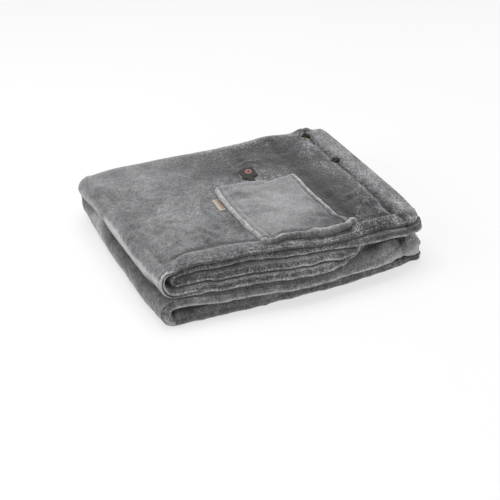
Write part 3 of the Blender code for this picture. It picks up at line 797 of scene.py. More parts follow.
class Blanket:
    """The folded sheet: its stations, and the folded place and shade of all its points."""

    def __init__(self):
        self.across = across_stations()
        self.along = along_stations(*ALONG_STEPS)
        where, self.way, self.stand, self.thick, self.flat = map(np.array, zip(*self.along))
        self.is_above, self.is_turn = where == "above", where == "turn"
        self.is_below = where == "below"
        self.is_rim = (self.way == 0.0) & ~self.is_turn
        self.from_front = np.minimum(self.flat, self.flat[-1] - self.flat)
        every_fourth = np.arange(len(self.along)) % 4 == 0
        self.coarse = np.flatnonzero((self.from_front < FRONT_HEM + 0.005) | every_fourth)
        self.below = np.where(self.is_above, 0.0, np.where(self.is_turn, self.way, 1.0))

    def layer_front(self, row_number, part, x):
        """The front edge of the layers that a row belongs to."""
        names = [SECTION[row_number][0]] * 2
        if SECTION[row_number][1] == "turn":
            names = [SECTION[row_number - 1][0], SECTION[row_number + 1][0]]
        above, below = (
            mixed(front_edge(names[0], x, under), front_edge(names[1], x, under), part)
            for under in (False, True)
        )
        return np.where(self.is_below, below, above)

    def line(self, station, face):
        """Places and shades of the points of one station across, on one face of the sheet."""
        row_number, part, out, thickness, flat = station
        row = SECTION[row_number]
        y = np.full(len(self.way), BACK_Y)
        free_end = max(min(flat, self.across[-1][4] - flat) - out, 0.0)
        radii = CORNERS.get(row[0], OTHER_CORNERS)
        corner = np.where(self.is_above, *(round_corner(free_end, radius) for radius in radii))
        angle = np.pi * self.way
        looks_down = self.looks_down(row_number, part, face)
        for _ in range(3):
            x, level, normal_x, normal_level = section_point(row, part, y, self.below)
            seam = self.seam_shows(row_number, x)
            lean = 0.0 if row[0] == "top" else LIP_LEAN
            lip = lean * (1 - seam) * looks_down * np.sin(np.pi * self.thick)
            stand = lip - RIM_SEAM * seam * bell(self.thick, 0.0, 0.2)
            stand = self.stand + np.where(self.is_rim, stand, 0.0)
            front = self.layer_front(row_number, part, x) + corner
            straight = mixed(front - stand, BACK_Y, self.way)
            y = np.where(self.is_turn, BACK_Y + level * np.sin(angle), straight)

        half = PLY / 2 * np.minimum(thickness, self.thick)
        hem = 1 - smooth(self.from_front, 0.010, 0.034)
        rise, cell = HEM_GRAIN
        relief = face * rise * hem * soft_noise(flat, self.flat + 0.3 * face, cell, 51)
        x = x + (face * half + relief) * normal_x + out
        level = level + (face * half + relief) * normal_level
        y = np.where(self.is_turn, BACK_Y + level * np.sin(angle), y)
        z = np.where(self.is_above, FOLD_Z + level, FOLD_Z - level)
        z = np.where(self.is_turn, FOLD_Z + level * np.cos(angle), z)
        x, z = self.fattened(row[0], part, face, thickness, x, z)

        z = z + (patches(x, y, SWELLS) + self.sag(x, y)) * z / TOP_Z
        if row[0] in DROOPING:
            z = z - np.where(self.is_above, droop(x, y), 0.0)
        if row[0] in HANGING:
            near_edge = 1 - smooth(self.from_front, 0.0, HANG_REACH)
            z = z - np.where(self.is_below, read_table(x, HANG_X, HANG) * near_edge, 0.0)
        shade = self.shade(row_number, part, face, x, y, z, thickness, flat)
        x, y, z = self.relieved(row_number, part, face, flat, x, y, z)
        return np.stack([x, y, np.maximum(z, 0.0)], axis=-1), shade

    def looks_down(self, row_number, part, face):
        """1 where this face of the sheet looks down, -1 where it looks up."""
        row = SECTION[row_number]
        up = face * row[6]
        if row[1] == "turn":
            up = face * SECTION[row_number - 1][6] * math.cos(math.pi * part)
        return np.where(self.is_below, up, -up)

    def seam_shows(self, row_number, x):
        """How clearly the seam between a rim's two lips shows: most round the upper left turn."""
        name = SECTION[row_number][0]
        above = {
            "top": 1 - smooth(x, -0.186, -0.150),
            "outer turn": 1.0,
            "under": 1 - smooth(x, -0.176, -0.120),
        }.get(name, FAINT_SEAM)
        return np.where(self.is_above, above, FAINT_SEAM)

    def fattened(self, name, part, face, thickness, x, z):
        """The lowest hem is rolled into a fat roll, on the side that faces the stack."""
        inside = (1 - face * np.minimum(thickness, self.thick)) / 2
        inside = inside * (1 - smooth(self.from_front, *FAT_REACH))
        inside = np.where(self.is_below, inside, 0.0)
        lumps = 1 + 0.07 * soft_noise(x, self.flat, 0.016, 58)
        if name == "top":
            return x, z + read_table(x, FAT_X, FAT) * inside * lumps
        if name == "outer turn":
            swollen = mixed(*FAT_TURN, part) * inside
            angle = math.pi * part
            return x + swollen * math.sin(angle), z + swollen * math.cos(angle)
        bulge = read_table(x, BULGE_X, BULGE) * inside
        if name == "under":
            return x, z - bulge
        if name == "crease":
            bulge = bulge * (1 - part)
            return x - bulge * math.sin(math.pi * part), z - bulge * math.cos(math.pi * part)
        return x, z

    def sag(self, x, y):
        """Slow waves that the layers share near their front edges."""
        front = 1 - smooth(y, -0.120, -0.060)
        return front * 0.0011 * soft_noise(x, 0, 0.055, 52)

    def relieved(self, row_number, part, face, flat, x, y, z):
        """Adds the outer faces' creases; the faces inside the stack stay as they are."""
        name = SECTION[row_number][0]
        if name == "top":
            fall = HEM_ROUND[0] * (1 - smooth(self.from_front, -0.003, HEM_ROUND[1]))
            fall = fall * ((1 + face * np.minimum(self.thick, 1.0)) / 2) ** 2 * turn_fade(x)
            z = z - np.where(self.is_above, fall, 0.0)
        if face > 0 and name in ("under", "crease"):
            lift = patches(x, y, UNDER_SWELLS) + creases(x, y, UNDER_CREASES)
            lift = lift * (0.55 + 0.45 * np.minimum(self.thick, 1.0))
            lift = lift * (1.0 if name == "under" else 1.0 - part)
            return x, y, z + np.where(self.is_below, lift, 0.0)
        if face < 0 or name not in FINE_ROWS:
            return x, y, z
        rim = np.minimum(1.0, self.thick**2)
        if name == "top":
            lift = top_relief(x, y) * rim
            free = smooth(flat, -0.001, 0.010)
            over_back = np.where(self.is_turn, 1 - smooth(self.way, 0.0, 0.35), 1.0)
            z = z + np.where(self.is_below, 0.0, lift * free * over_back * turn_fade(x))
            back = np.where(self.is_turn, np.sin(np.pi * self.way), 0.0)
            return x, y + back * layered_noise(x, z, BACK_FOLD_GRAIN, 53), z
        bulge = layered_noise(y, z, LEFT_TURN_GRAIN, 55) * math.sin(math.pi * part)
        at, width, rise = FOLD_RIDGE
        ridge = rise * bell(part, at, width) * (1 + 0.5 * soft_noise(y, 0, 0.020, 57))
        slant = 0.7 * np.where(self.is_above, ridge, 0.0)  # the ridge stands out at 45 degrees
        return x - (bulge + slant) * rim, y, z + slant * rim

    def shade(self, row_number, part, face, x, y, z, thickness, flat):
        """The pile's lie from dark to light with painted shade and highlights, how crushed it is, and
        how fuzzy the rim is.
        """
        name = SECTION[row_number][0]
        down = self.looks_down(row_number, part, face)
        nap_and_painted_light = self.rim_shade(name, down, self.seam_shows(row_number, x), thickness)
        nap_and_painted_light = nap_and_painted_light * (1.0 + 0.25 * soft_noise(x, y + z, 0.0110, 60))
        fuzz = 1 - smooth(self.from_front, 0.001, 0.012)
        fuzz = fuzz * np.where(self.is_below & (name not in INNER_ROWS), 0.35, 1.0)
        crushed = 0.3 * fuzz
        if name != "top":
            nap_and_painted_light = nap_and_painted_light + self.side_shade(name, part, face, down, *wandered(x, y, 62), z)
        else:
            # painted shade on the lowest layer, at the foot of the stack
            nap_and_painted_light = nap_and_painted_light - np.where(self.is_below, 0.25, 0.0)
            if face > 0:
                lie, rough = self.top_shade(x, y, flat)
                nap_and_painted_light, crushed = nap_and_painted_light + lie, crushed + rough
        return np.stack([nap_and_painted_light, crushed, fuzz], axis=-1)

    def rim_shade(self, name, down, seam, thickness):
        """The painted shade and painted highlight of a rim's two lips, and the painted shade of the seam
        between them where it shows.
        """
        thinned = np.minimum(np.minimum(thickness, self.thick), 1.0)
        thinned = np.where((self.from_front > 0.015) & (self.thick < 1), 1.0, thinned)
        faces_down = (1 + down) / 2
        upper = np.interp(thinned, RIM_PARTS, UPPER_LIP_SHADE)
        lower = np.interp(thinned, RIM_PARTS, LOWER_LIP_HIGHLIGHT)
        lip = mixed(upper, lower, faces_down)
        if name == "top":
            faint = mixed(0.10 * np.maximum(lip, 0.0), -0.12 * np.abs(lip), faces_down)
            lip = np.where(self.is_above, faint, 0.0)
        return seam * np.interp(thinned, RIM_PARTS, SEAM_SHADE) + (1 - seam) * lip

    def top_shade(self, x, y, flat):
        """The lie of the top face's pile with its painted shade and highlights, and how crushed it is.
        """
        on_top = np.where(self.is_above, 1.0, 0.0)
        loose_x, loose_y = wandered(x, y, 62)
        # the patches hold the pile's lie and the painted shade and highlights along the creases
        brushed = on_top * patches(loose_x, loose_y, NAP_AND_CREASE_SHADE_PATCHES)
        nap_and_painted_light = patches(x, y, CREASE_PAINTED_LIGHT_MARKS)
        x, y = mixed(x, loose_x, LINE_WANDER), mixed(y, loose_y, LINE_WANDER)
        behind, from_seam, under = y - crest_y(x), x - side_seam_x(y), under_pocket(x)

        rough = np.clip((0.55 + 0.2 * np.abs(brushed)) * smooth(x, -0.08, 0.06), 0, 1)
        rough = rough * (1 - 0.75 * under * (1 - smooth(behind, 0.0, 0.014)))
        rough = rough * (1 - 0.45 * smooth(from_seam, 0.0, 0.004))

        # a painted highlight on the hem's crest, and painted shade in its stitched groove
        crest = mixed(*CREST_HIGHLIGHT, smooth(x, -0.06, 0.10)) * (1 - under)
        nap_and_painted_light += crest * bell(behind, *CREST_LINE)
        nap_and_painted_light += marks(behind, 1.0, GROOVE_SHADE) * turn_fade(x)
        # painted shade in the valley before the pocket's foot, and a painted highlight on the roll in
        # front of it
        rolled = 1 + 0.24 * soft_noise(x, 0, 0.012, 66)
        nap_and_painted_light += under * marks(y - foot_y(x), rolled, BEFORE_FOOT_SHADE)
        nap_and_painted_light += KNOB_SHADE * knob(x, y)
        # the stitched-down pile in the side seam's groove, darkened with painted shade, and a painted
        # highlight on the swell beside it
        dashes = 0.80 + 0.35 * soft_noise(y, 0, 0.0030, 65)
        nap_and_painted_light += marks(from_seam, dashes, SIDE_SEAM_SHADE)
        # painted light on the top layer's right rim, which faces away from the lamps
        nap_and_painted_light += 0.50 * (1 - smooth(flat, 0.0, 0.006))
        nap_and_painted_light += 0.15 * soft_noise(y, x * 0.25, 0.0050, 64) * smooth(x, 0.160, 0.172)
        return brushed + on_top * nap_and_painted_light, rough

    def side_shade(self, name, part, face, down, x, y, z):
        """The lie of the pile on the turns and the layers' faces below the top one, with a painted
        highlight on the upper turn's ridge, painted shade and light on the lower turn and the hem under
        the corner, painted shade inside the stack, and a darker upper face of the second layer at the
        right.
        """
        above, below = 0.0, 0.0
        if name == "outer turn" and face > 0:
            # painted highlight along the upper turn's ridge, where the pile also parts
            line = bell(part, FOLD_RIDGE[0], FOLD_LINE_WIDTH)
            above = read_table(y, FOLD_LINE_Y, FOLD_LINE_HIGHLIGHT) * line
            # painted shade and painted light on the lower left turn
            below = patches(y, z, LOWER_TURN_PAINTED_LIGHT)
        if name == "under":
            # painted light on the hem under the layers above, more at the right
            below = 0.25 + 0.15 * smooth(x, 0.06, 0.12) + patches(x, y, UNDER_PAINTED_LIGHT)
        if name in INNER_ROWS:
            # painted shade on the layers inside the stack, most at their left ends by the hollow of the
            # left turn
            above = -0.12 - 0.35 * (1 - smooth(x, -0.175, -0.130))
        if name == "second":
            above = above - np.where(down < 0, 0.45 * smooth(x, 0.09, 0.13), 0.0)
        return np.where(self.is_above, above, 0.0) + np.where(self.is_below, below, 0.0)

    def build(self):
        lines = {face: [self.line(station, face) for station in self.across] for face in (1, -1)}
        places = {face: np.array([place for place, _ in lines[face]]) for face in lines}
        shades = {face: np.array([shade for _, shade in lines[face]]) for face in lines}
        numbers, parts, _, thick, flat = map(np.array, zip(*self.across))
        rim = np.isin(parts, (0.0, 1.0)) & np.isin(numbers, (0, len(SECTION) - 1))
        flat = with_rim_arcs(flat, thick, rim)
        every = np.arange(len(self.along))
        kept = [every if SECTION[number][0] in FINE_ROWS else self.coarse for number in numbers]
        along = with_rim_arcs(self.flat, self.thick, self.is_rim)
        return two_faced("plush_blanket", places, shades, flat, along, kept)


def with_rim_arcs(flat, thick, rim):
    """Flat distances with the cloth that goes round each rim counted in."""
    arc = np.where(rim, np.interp(thick, RIM_PARTS, RIM_ARC), 0.0)
    return np.where(flat < flat[-1] / 2, flat - arc, flat + arc)


def turn_fade(x):
    """Relief of the top face fades out towards the left turn."""
    return smooth(x, -0.196, -0.172)


# ---- meshes ----------------------------------------------------------------------------------
PILE_ATTRIBUTES = ("nap_and_painted_light", "crushed", "fuzz")


def two_faced(name, places, shades, flat_u, flat_v, kept=None):
    """A closed sheet from the places of its outer face, 1, and its inner face, -1.

    The faces share their border points. kept lists the rows that each column keeps, and a
    column that keeps fewer than the one before it is joined to it by many-sided faces.
    """
    columns, rows = shades[1].shape[:2]
    kept = kept or [np.arange(rows)] * columns
    index = {face: np.full((columns, rows), -1) for face in (1, -1)}
    points, shade, flat = [], [], []
    for face in (1, -1):
        for column, rows_kept in enumerate(kept):
            for row in rows_kept:
                border = column in (0, columns - 1) or row in (0, rows - 1)
                if face < 0 and border:
                    index[-1][column, row] = index[1][column, row]
                    continue
                index[face][column, row] = len(points)
                points.append(places[face][column, row])
                shade.append(shades[face][column, row] + np.zeros(3))
                flat.append((flat_u[column], flat_v[row]))

    faces, corner_uv = [], []
    for face in (1, -1):
        for column in range(columns - 1):
            here, there = index[face][column], index[face][column + 1]
            ends = kept[column + 1]
            for first, last in zip(ends[:-1], ends[1:]):
                near = [here[row] for row in range(last, first - 1, -1) if here[row] >= 0]
                loop = near + [there[first], there[last]]
                uv = [flat[point] for point in loop]
                if face < 0:
                    uv = turned_under(uv, flat_u, flat_v)
                    loop.reverse()
                    uv.reverse()
                faces.append(loop)
                corner_uv += uv

    mesh = bpy.data.meshes.new(name)
    mesh.from_pydata(points, [], faces)
    mesh.uv_layers.new(name="flat_cloth").data.foreach_set("uv", np.array(corner_uv).ravel())
    for i, label in enumerate(PILE_ATTRIBUTES):
        values = np.ascontiguousarray(np.array(shade)[:, i])
        mesh.attributes.new(label, "FLOAT", "POINT").data.foreach_set("value", values)
    return finished(name, mesh)


def turned_under(uv, flat_u, flat_v):
    """A face of the inner side on the UV map, which runs on round the sheet's nearest edge."""
    u, v = uv[0]
    end_u = flat_u[0] if u < (flat_u[0] + flat_u[-1]) / 2 else flat_u[-1]
    end_v = flat_v[0] if v < (flat_v[0] + flat_v[-1]) / 2 else flat_v[-1]
    if abs(u - end_u) < min(abs(v - end_v), SIDE_HEM):
        return [(2 * end_u - u, v) for u, v in uv]
    return [(u, 2 * end_v - v) for u, v in uv]


def finished(name, mesh, smooth_angle=None):
    """A mesh with outward faces as a piece of its own, at the origin."""
    bm = bmesh.new()
    bm.from_mesh(mesh)
    bmesh.ops.recalc_face_normals(bm, faces=bm.faces[:])
    bm.to_mesh(mesh)
    bm.free()
    mesh.shade_smooth()
    if smooth_angle is not None:
        mesh.set_sharp_from_angle(angle=smooth_angle)
    obj = bpy.data.objects.new(name, mesh)
    bpy.context.scene.collection.objects.link(obj)
    return obj


# ---- the pocket ------------------------------------------------------------------------------
def pocket_place(u, v):
    """x and y of the pocket at a part u of its width and v of its length, foot to mouth."""
    y = mixed(FOOT_Y[0], max(MOUTH_Y), v)
    for _ in range(2):
        left = read_table(y, POCKET_LEFT_Y, POCKET_LEFT_X) + 0.0007 * soft_noise(y, 0, 0.009, 71)
        right = read_table(y, POCKET_RIGHT_Y, POCKET_RIGHT_X) + 0.0007 * soft_noise(y, 0, 0.010, 72)
        x = mixed(left, right, u)
        y = mixed(foot_y(x), read_table(x, MOUTH_X, MOUTH_Y), v)
    return x, y


def pocket_relief(x, y):
    """How the pocket's outer face rises over its flat cloth, and how light its pile lies, with painted
    highlights on its beads and rolls and painted shade beside and before them.
    """
    from_left = x - read_table(y, POCKET_LEFT_Y, POCKET_LEFT_X)
    from_right = read_table(y, POCKET_RIGHT_Y, POCKET_RIGHT_X) - x
    from_foot = y - foot_y(x)
    foot_lumps = 1 + 0.70 * soft_noise(x, 0, 0.0150, 80) + 0.35 * soft_noise(x, y, 0.0060, 81)
    edges = {
        "left": (from_left, 1 + 0.45 * soft_noise(y, x, 0.0055, 73)),
        "right": (from_right, 1 + 0.5 * soft_noise(y, x, 0.0062, 74)),
        "mouth": (read_table(x, MOUTH_X, MOUTH_Y) - y, 1.0),
        "foot": (from_foot, foot_lumps),
    }
    height = sum(marks(*edges[edge], POCKET_RELIEF[edge]) for edge in edges)
    height += marks(from_foot, foot_lumps, FOOT_ROLL) * (1 - 0.6 * smooth(x, 0.086, 0.100))
    height += layered_noise(x, y, POCKET_GRAIN, 75)
    height += creases(x, y, POCKET_CREASES)
    shade = sum(marks(*edges[edge], POCKET_PAINTED_LIGHT[edge]) for edge in edges)
    # painted shade on the rolled foot's front face
    shade -= 0.30 * (1 - smooth(from_foot, 0.0, 0.008))
    shade -= 0.40 * (1 - smooth(from_foot, 0.0010, 0.0036))
    shade += patches(*wandered(x, y, 77), POCKET_LIGHT_AND_SHADE_PATCHES)
    nearest = np.minimum(np.minimum(from_left, from_right), from_foot - 0.004)
    fuzz = 1 - smooth(nearest, 0.003, 0.009)
    return height, np.stack([shade, 0.4 * fuzz, fuzz], axis=-1)


def pocket_stations(steps):
    """Parts of the way across the pocket, how far each stands out and its thickness."""
    part, out, thick = map(np.array, zip(*POCKET_RIM))
    middle = np.linspace(0.03, 0.97, steps - 2 * len(POCKET_RIM))
    return (
        np.concatenate([part, middle, 1 - part[::-1]]),
        np.concatenate([-out, 0 * middle, out[::-1]]),
        np.concatenate([thick, 1 + 0 * middle, thick[::-1]]),
    )


def make_pocket():
    u, out_u, thick_u = pocket_stations(92)
    v, out_v, thick_v = pocket_stations(104)
    uu, vv = np.meshgrid(u, v, indexing="ij")
    x, y = pocket_place(uu, vv)
    relief, shade = pocket_relief(x, y)
    x, y = x + out_u[:, None], y + out_v[None, :]
    thickness = POCKET_CLOTH * np.minimum(thick_u[:, None], thick_v[None, :])
    middle = top_surface(x, y) + SEAT_GAP + pocket_lift(uu, vv) + POCKET_CLOTH / 2
    upper = np.stack([x, y, middle + thickness / 2 + relief * (thickness / POCKET_CLOTH)], axis=-1)
    lower = np.stack([x, y, middle - thickness / 2], axis=-1)
    width, length = POCKET_SIZE
    shades = {1: shade, -1: shade * 0}
    return two_faced("patch_pocket", {1: upper, -1: lower}, shades, u * width, v * length)


def pocket_lift(u, v):
    """The open mouth stands off the blanket, most where the patch's tail runs in."""
    opening = np.sin(np.pi * np.clip(u, 0, 1)) ** 0.7 * smooth(v, 0.62, 1.0)
    return MOUTH_LIFT * opening


# ---- the tab, the patch and the studs --------------------------------------------------------
def ribbon_middle():
    """(reach, level, normal x, normal z) along the folded ribbon's middle, from end to end."""
    width, _, height = TAB_SIZE
    radius = (height - TAB_CLOTH) / 2
    run = [width * k / 10 for k in range(10, 0, -1)]
    middle = [(reach, radius, 0.0, 1.0) for reach in run]
    for k in range(9):
        across, up = math.sin(math.pi * k / 8), math.cos(math.pi * k / 8)
        middle.append((radius - radius * across, radius * up, -across, up))
    return middle + [(reach, -radius, 0.0, -1.0) for reach in reversed(run)]


def make_tab():
    """A ribbon folded in two, with its fold out and both ends caught in the pocket's seam."""
    width, length, height = TAB_SIZE
    middle = ribbon_middle()
    along = np.linspace(-length / 2, length / 2, 26)
    inside = np.where(np.abs(along) >= length / 2 - 1e-9, 0.0, 1.0)
    y = TAB_AT[1] + along
    faces = {}
    for side in (1, -1):
        columns = []
        for i, (reach, level, normal_x, normal_z) in enumerate(middle):
            end = 0.0 if i in (0, len(middle) - 1) else 1.0
            half = side * TAB_CLOTH / 2 * end * inside
            x = TAB_AT[0] - width / 2 + reach
            wave = TAB_WAVE[0] * np.sin(along * TAB_WAVE[1]) * (1 - reach / width)
            z = top_surface(x, y) + SEAT_GAP + height / 2 + level + normal_z * half + wave
            columns.append(np.stack([x + normal_x * half, y, z], -1))
        faces[side] = np.array(columns)
    shade = np.zeros(faces[1].shape[:2])
    flat = np.cumsum([0.0] + [math.dist(a[:2], b[:2]) for a, b in zip(middle, middle[1:])])
    return two_faced("ribbon_tab", faces, {1: shade, -1: shade}, flat, along)


def rounded_outline(width, length, corner, steps):
    """A rectangle about the origin with round corners, anticlockwise from its right side."""
    points = []
    for quarter, (side_x, side_y) in enumerate(((1, 1), (-1, 1), (-1, -1), (1, -1))):
        centre_x = side_x * (width / 2 - corner)
        centre_y = side_y * (length / 2 - corner)
        for step in range(steps + 1):
            angle = math.pi / 2 * (quarter + step / steps)
            points.append((centre_x + corner * math.cos(angle), centre_y + corner * math.sin(angle)))
    return points


def patch_place():
    skew = Matrix.Identity(4)
    skew[0][1], skew[1][0] = PATCH_SKEW, PATCH_SKEW
    return Matrix.Translation((*PATCH_AT, 0.0)) @ Matrix.Rotation(PATCH_TURN, 4, "Z") @ skew


def make_patch():
    """The leather patch with its tail, cut from one piece, with pressed edges."""
    width, length, thickness = PATCH_SIZE
    outline = rounded_outline(width, length, PATCH_CORNER, 5)
    tail_width, tail_length = TAIL_SIZE
    left, right = TAIL_OFFSET - tail_width / 2, TAIL_OFFSET + tail_width / 2
    foot, end = -length / 2, -length / 2 - tail_length
    corner_points = len(outline) // 4
    tail = [(left, foot), (left, end), (right, end), (right, foot)]
    outline = outline[: 3 * corner_points] + tail + outline[3 * corner_points :]
    bm = bmesh.new()
    face = bm.faces.new([bm.verts.new((x, y, 0.0)) for x, y in outline])
    grown = bmesh.ops.extrude_face_region(bm, geom=[face])["geom"]
    raised = [item for item in grown if isinstance(item, bmesh.types.BMVert)]
    bmesh.ops.translate(bm, verts=raised, vec=(0.0, 0.0, thickness))
    bmesh.ops.recalc_face_normals(bm, faces=bm.faces[:])
    top_edges = [edge for edge in bm.edges if all(vert.co.z > thickness / 2 for vert in edge.verts)]
    bmesh.ops.bevel(bm, geom=top_edges, offset=PATCH_BEVEL, segments=3, profile=0.6, affect="EDGES")
    bmesh.ops.triangulate(bm, faces=[face for face in bm.faces if len(face.verts) > 4])
    bmesh.ops.subdivide_edges(
        bm, edges=[edge for edge in bm.edges if edge.calc_length() > 0.004], cuts=3, use_grid_fill=True
    )
    bm.transform(patch_place())
    for vert in bm.verts:
        vert.co.z += patch_seat(vert.co.x, vert.co.y)
    mesh = bpy.data.meshes.new("control_patch_leather")
    bm.to_mesh(mesh)
    bm.free()
    return finished("control_patch_leather", mesh, math.radians(40))


def patch_seat(x, y):
    """The patch is stiffer than the cloth, so it bridges the finest relief."""
    return float(top_height(x, y) + patch_slope(y) + PATCH_RAISE) + SEAT_GAP


def add_broken_ring(bm):
    """A flat ring of square section with its gap towards +Y."""
    steps = 34
    for level in (0.0, SYMBOL_HEIGHT):
        for edge in (-RING_LINE, RING_LINE):
            for k in range(steps + 1):
                angle = math.pi / 2 + RING_GAP + (2 * math.pi - 2 * RING_GAP) * k / steps
                reach = RING_RADIUS + edge
                bm.verts.new((reach * math.cos(angle), reach * math.sin(angle), level))
    bm.verts.ensure_lookup_table()
    ring = [[bm.verts[i * (steps + 1) + k] for i in range(4)] for k in range(steps + 1)]
    order = (0, 1, 3, 2)
    for here, there in zip(ring, ring[1:]):
        for a, b in zip(order, order[1:] + order[:1]):
            bm.faces.new((here[a], here[b], there[b], there[a]))
    for end in (ring[0], ring[-1]):
        bm.faces.new([end[i] for i in order])


def make_symbol():
    """The lit button: a lens with a plain broken ring and a bar."""
    lens = bmesh.new()
    foot, top, height = LENS
    bmesh.ops.create_cone(lens, cap_ends=True, segments=40, radius1=foot, radius2=top, depth=height)
    bmesh.ops.translate(lens, verts=lens.verts[:], vec=(0, 0, 0.0001))

    lines = bmesh.new()
    add_broken_ring(lines)
    middle, length = BAR
    bar = bmesh.ops.create_cube(lines, size=1.0)["verts"]
    bmesh.ops.scale(lines, verts=bar, vec=(2 * RING_LINE, length, SYMBOL_HEIGHT))
    bmesh.ops.translate(lines, verts=bar, vec=(0, middle, SYMBOL_HEIGHT / 2))
    bmesh.ops.translate(lines, verts=lines.verts[:], vec=(0, 0, 0.0003))

    centre = patch_place() @ Vector((*SYMBOL_OFFSET, 0.0))
    base = patch_seat(centre.x, centre.y) + PATCH_SIZE[2]
    tilt = Matrix.Rotation(math.atan2(PATCH_RISE, PATCH_SIZE[1]), 4, "X")
    turn = tilt @ Matrix.Rotation(PATCH_TURN, 4, "Z")
    pieces = []
    for name, bm in (("symbol_lens", lens), ("symbol_ring", lines)):
        bm.transform(Matrix.Translation((centre.x, centre.y, base)) @ turn)
        mesh = bpy.data.meshes.new(name)
        bm.to_mesh(mesh)
        bm.free()
        pieces.append(finished(name, mesh, math.radians(35)))
    return pieces


def make_stud(name, place):
    """The cap of a press stud: a low dome inside a raised ring, with a rolled rim."""
    mesh = bpy.data.meshes.new(name + "_profile")
    points = [(STUD_RADIUS * radius, 0.0, STUD_HEIGHT * height) for radius, height in STUD_PROFILE]
    mesh.from_pydata(points, [(i, i + 1) for i in range(len(points) - 1)], [])
    turned = bpy.data.objects.new(name + "_profile", mesh)
    bpy.context.scene.collection.objects.link(turned)
    screw = turned.modifiers.new("turned", "SCREW")
    screw.steps = screw.render_steps = 56
    screw.use_merge_vertices = True
    screw.merge_threshold = 0.00002
    x, y = place
    reach = STUD_RADIUS * 0.7
    offsets = ((1, 0), (-1, 0), (0, 1), (0, -1))
    rim = [float(top_height(x + reach * dx, y + reach * dy)) for dx, dy in offsets]
    tilt_x = math.atan2(rim[2] - rim[3], 2 * reach)
    tilt_y = math.atan2(rim[1] - rim[0], 2 * reach)
    height = max(rim + [float(top_height(x, y))]) + SEAT_GAP - STUD_DEPTH + 0.0004
    turn = Matrix.Rotation(tilt_x, 4, "X") @ Matrix.Rotation(tilt_y, 4, "Y")
    graph = bpy.context.evaluated_depsgraph_get()
    result = bpy.data.meshes.new_from_object(turned.evaluated_get(graph))
    result.transform(Matrix.Translation((x, y, height)) @ turn)
    bpy.data.objects.remove(turned)
    return finished(name + "_cap", result, math.radians(50))


# ---- stitches --------------------------------------------------------------------------------
def stitch_tree():
    """Stitches of thread laid end to end along a line of points."""
    tree = bpy.data.node_groups.new("stitches_along_line", "GeometryNodeTree")
    tree.interface.new_socket("Geometry", in_out="INPUT", socket_type="NodeSocketGeometry")
    for label, value in STITCH.items():
        socket = tree.interface.new_socket(label, in_out="INPUT", socket_type="NodeSocketFloat")
        socket.default_value = value
    tree.interface.new_socket("Thread", in_out="INPUT", socket_type="NodeSocketMaterial")
    tree.interface.new_socket("Geometry", in_out="OUTPUT", socket_type="NodeSocketGeometry")
    nodes, links = tree.nodes, tree.links
    source = nodes.new("NodeGroupInput")
    result = nodes.new("NodeGroupOutput")
    curve = nodes.new("GeometryNodeMeshToCurve")
    spaced = nodes.new("GeometryNodeCurveToPoints")
    spaced.mode = "LENGTH"
    stitch = nodes.new("GeometryNodeMeshUVSphere")
    stitch.inputs["Segments"].default_value = 6
    stitch.inputs["Rings"].default_value = 5
    shape = nodes.new("ShaderNodeCombineXYZ")
    half = nodes.new("ShaderNodeMath")
    half.operation = "MULTIPLY"
    half.inputs[1].default_value = 0.5
    turn = nodes.new("FunctionNodeAlignRotationToVector")
    turn.axis = "Z"
    copies = nodes.new("GeometryNodeInstanceOnPoints")
    solid = nodes.new("GeometryNodeRealizeInstances")
    finish = nodes.new("GeometryNodeSetMaterial")
    links.new(source.outputs["Geometry"], curve.inputs["Mesh"])
    links.new(curve.outputs["Curve"], spaced.inputs["Curve"])
    links.new(source.outputs["Spacing"], spaced.inputs["Length"])
    links.new(spaced.outputs["Points"], copies.inputs["Points"])
    links.new(spaced.outputs["Tangent"], turn.inputs["Vector"])
    links.new(turn.outputs["Rotation"], copies.inputs["Rotation"])
    stitch.inputs["Radius"].default_value = 1.0
    links.new(stitch.outputs["Mesh"], copies.inputs["Instance"])
    links.new(source.outputs["Stitch length"], half.inputs[0])
    links.new(source.outputs["Thread radius"], shape.inputs["X"])
    links.new(source.outputs["Thread radius"], shape.inputs["Y"])
    links.new(half.outputs[0], shape.inputs["Z"])
    links.new(shape.outputs["Vector"], copies.inputs["Scale"])
    links.new(copies.outputs["Instances"], solid.inputs["Geometry"])
    links.new(solid.outputs["Geometry"], finish.inputs["Geometry"])
    links.new(source.outputs["Thread"], finish.inputs["Material"])
    links.new(finish.outputs["Geometry"], result.inputs["Geometry"])
    return tree


def stitch_line(name, tree, points, thread):
    """One row of stitches as a plain mesh."""
    mesh = bpy.data.meshes.new(name + "_line")
    mesh.from_pydata(points, [(i, i + 1) for i in range(len(points) - 1)], [])
    obj = bpy.data.objects.new(name + "_line", mesh)
    bpy.context.scene.collection.objects.link(obj)
    modifier = obj.modifiers.new("stitches", "NODES")
    modifier.node_group = tree
    values = {**STITCH, "Thread": thread}
    for item in tree.interface.items_tree:
        if item.in_out == "INPUT" and item.name in values:
            modifier[item.identifier] = values[item.name]
    graph = bpy.context.evaluated_depsgraph_get()
    result = bpy.data.meshes.new_from_object(obj.evaluated_get(graph))
    bpy.data.objects.remove(obj)
    return finished(name, result)


# ---- shader groups ---------------------------------------------------------------------------
PILE_LEAN = 66  # degrees from +X to the way the pile is combed


def new_group(name, inputs, outputs):
    """A shader group with named sockets: (label, socket type, default) and (label, type)."""
    group = bpy.data.node_groups.new(name, "ShaderNodeTree")
    for label, kind, default in inputs:
        socket = group.interface.new_socket(label, in_out="INPUT", socket_type=kind)
        if default is not None:
            socket.default_value = default
    for label, kind in outputs:
        group.interface.new_socket(label, in_out="OUTPUT", socket_type=kind)
    return group, group.nodes.new("NodeGroupInput"), group.nodes.new("NodeGroupOutput")


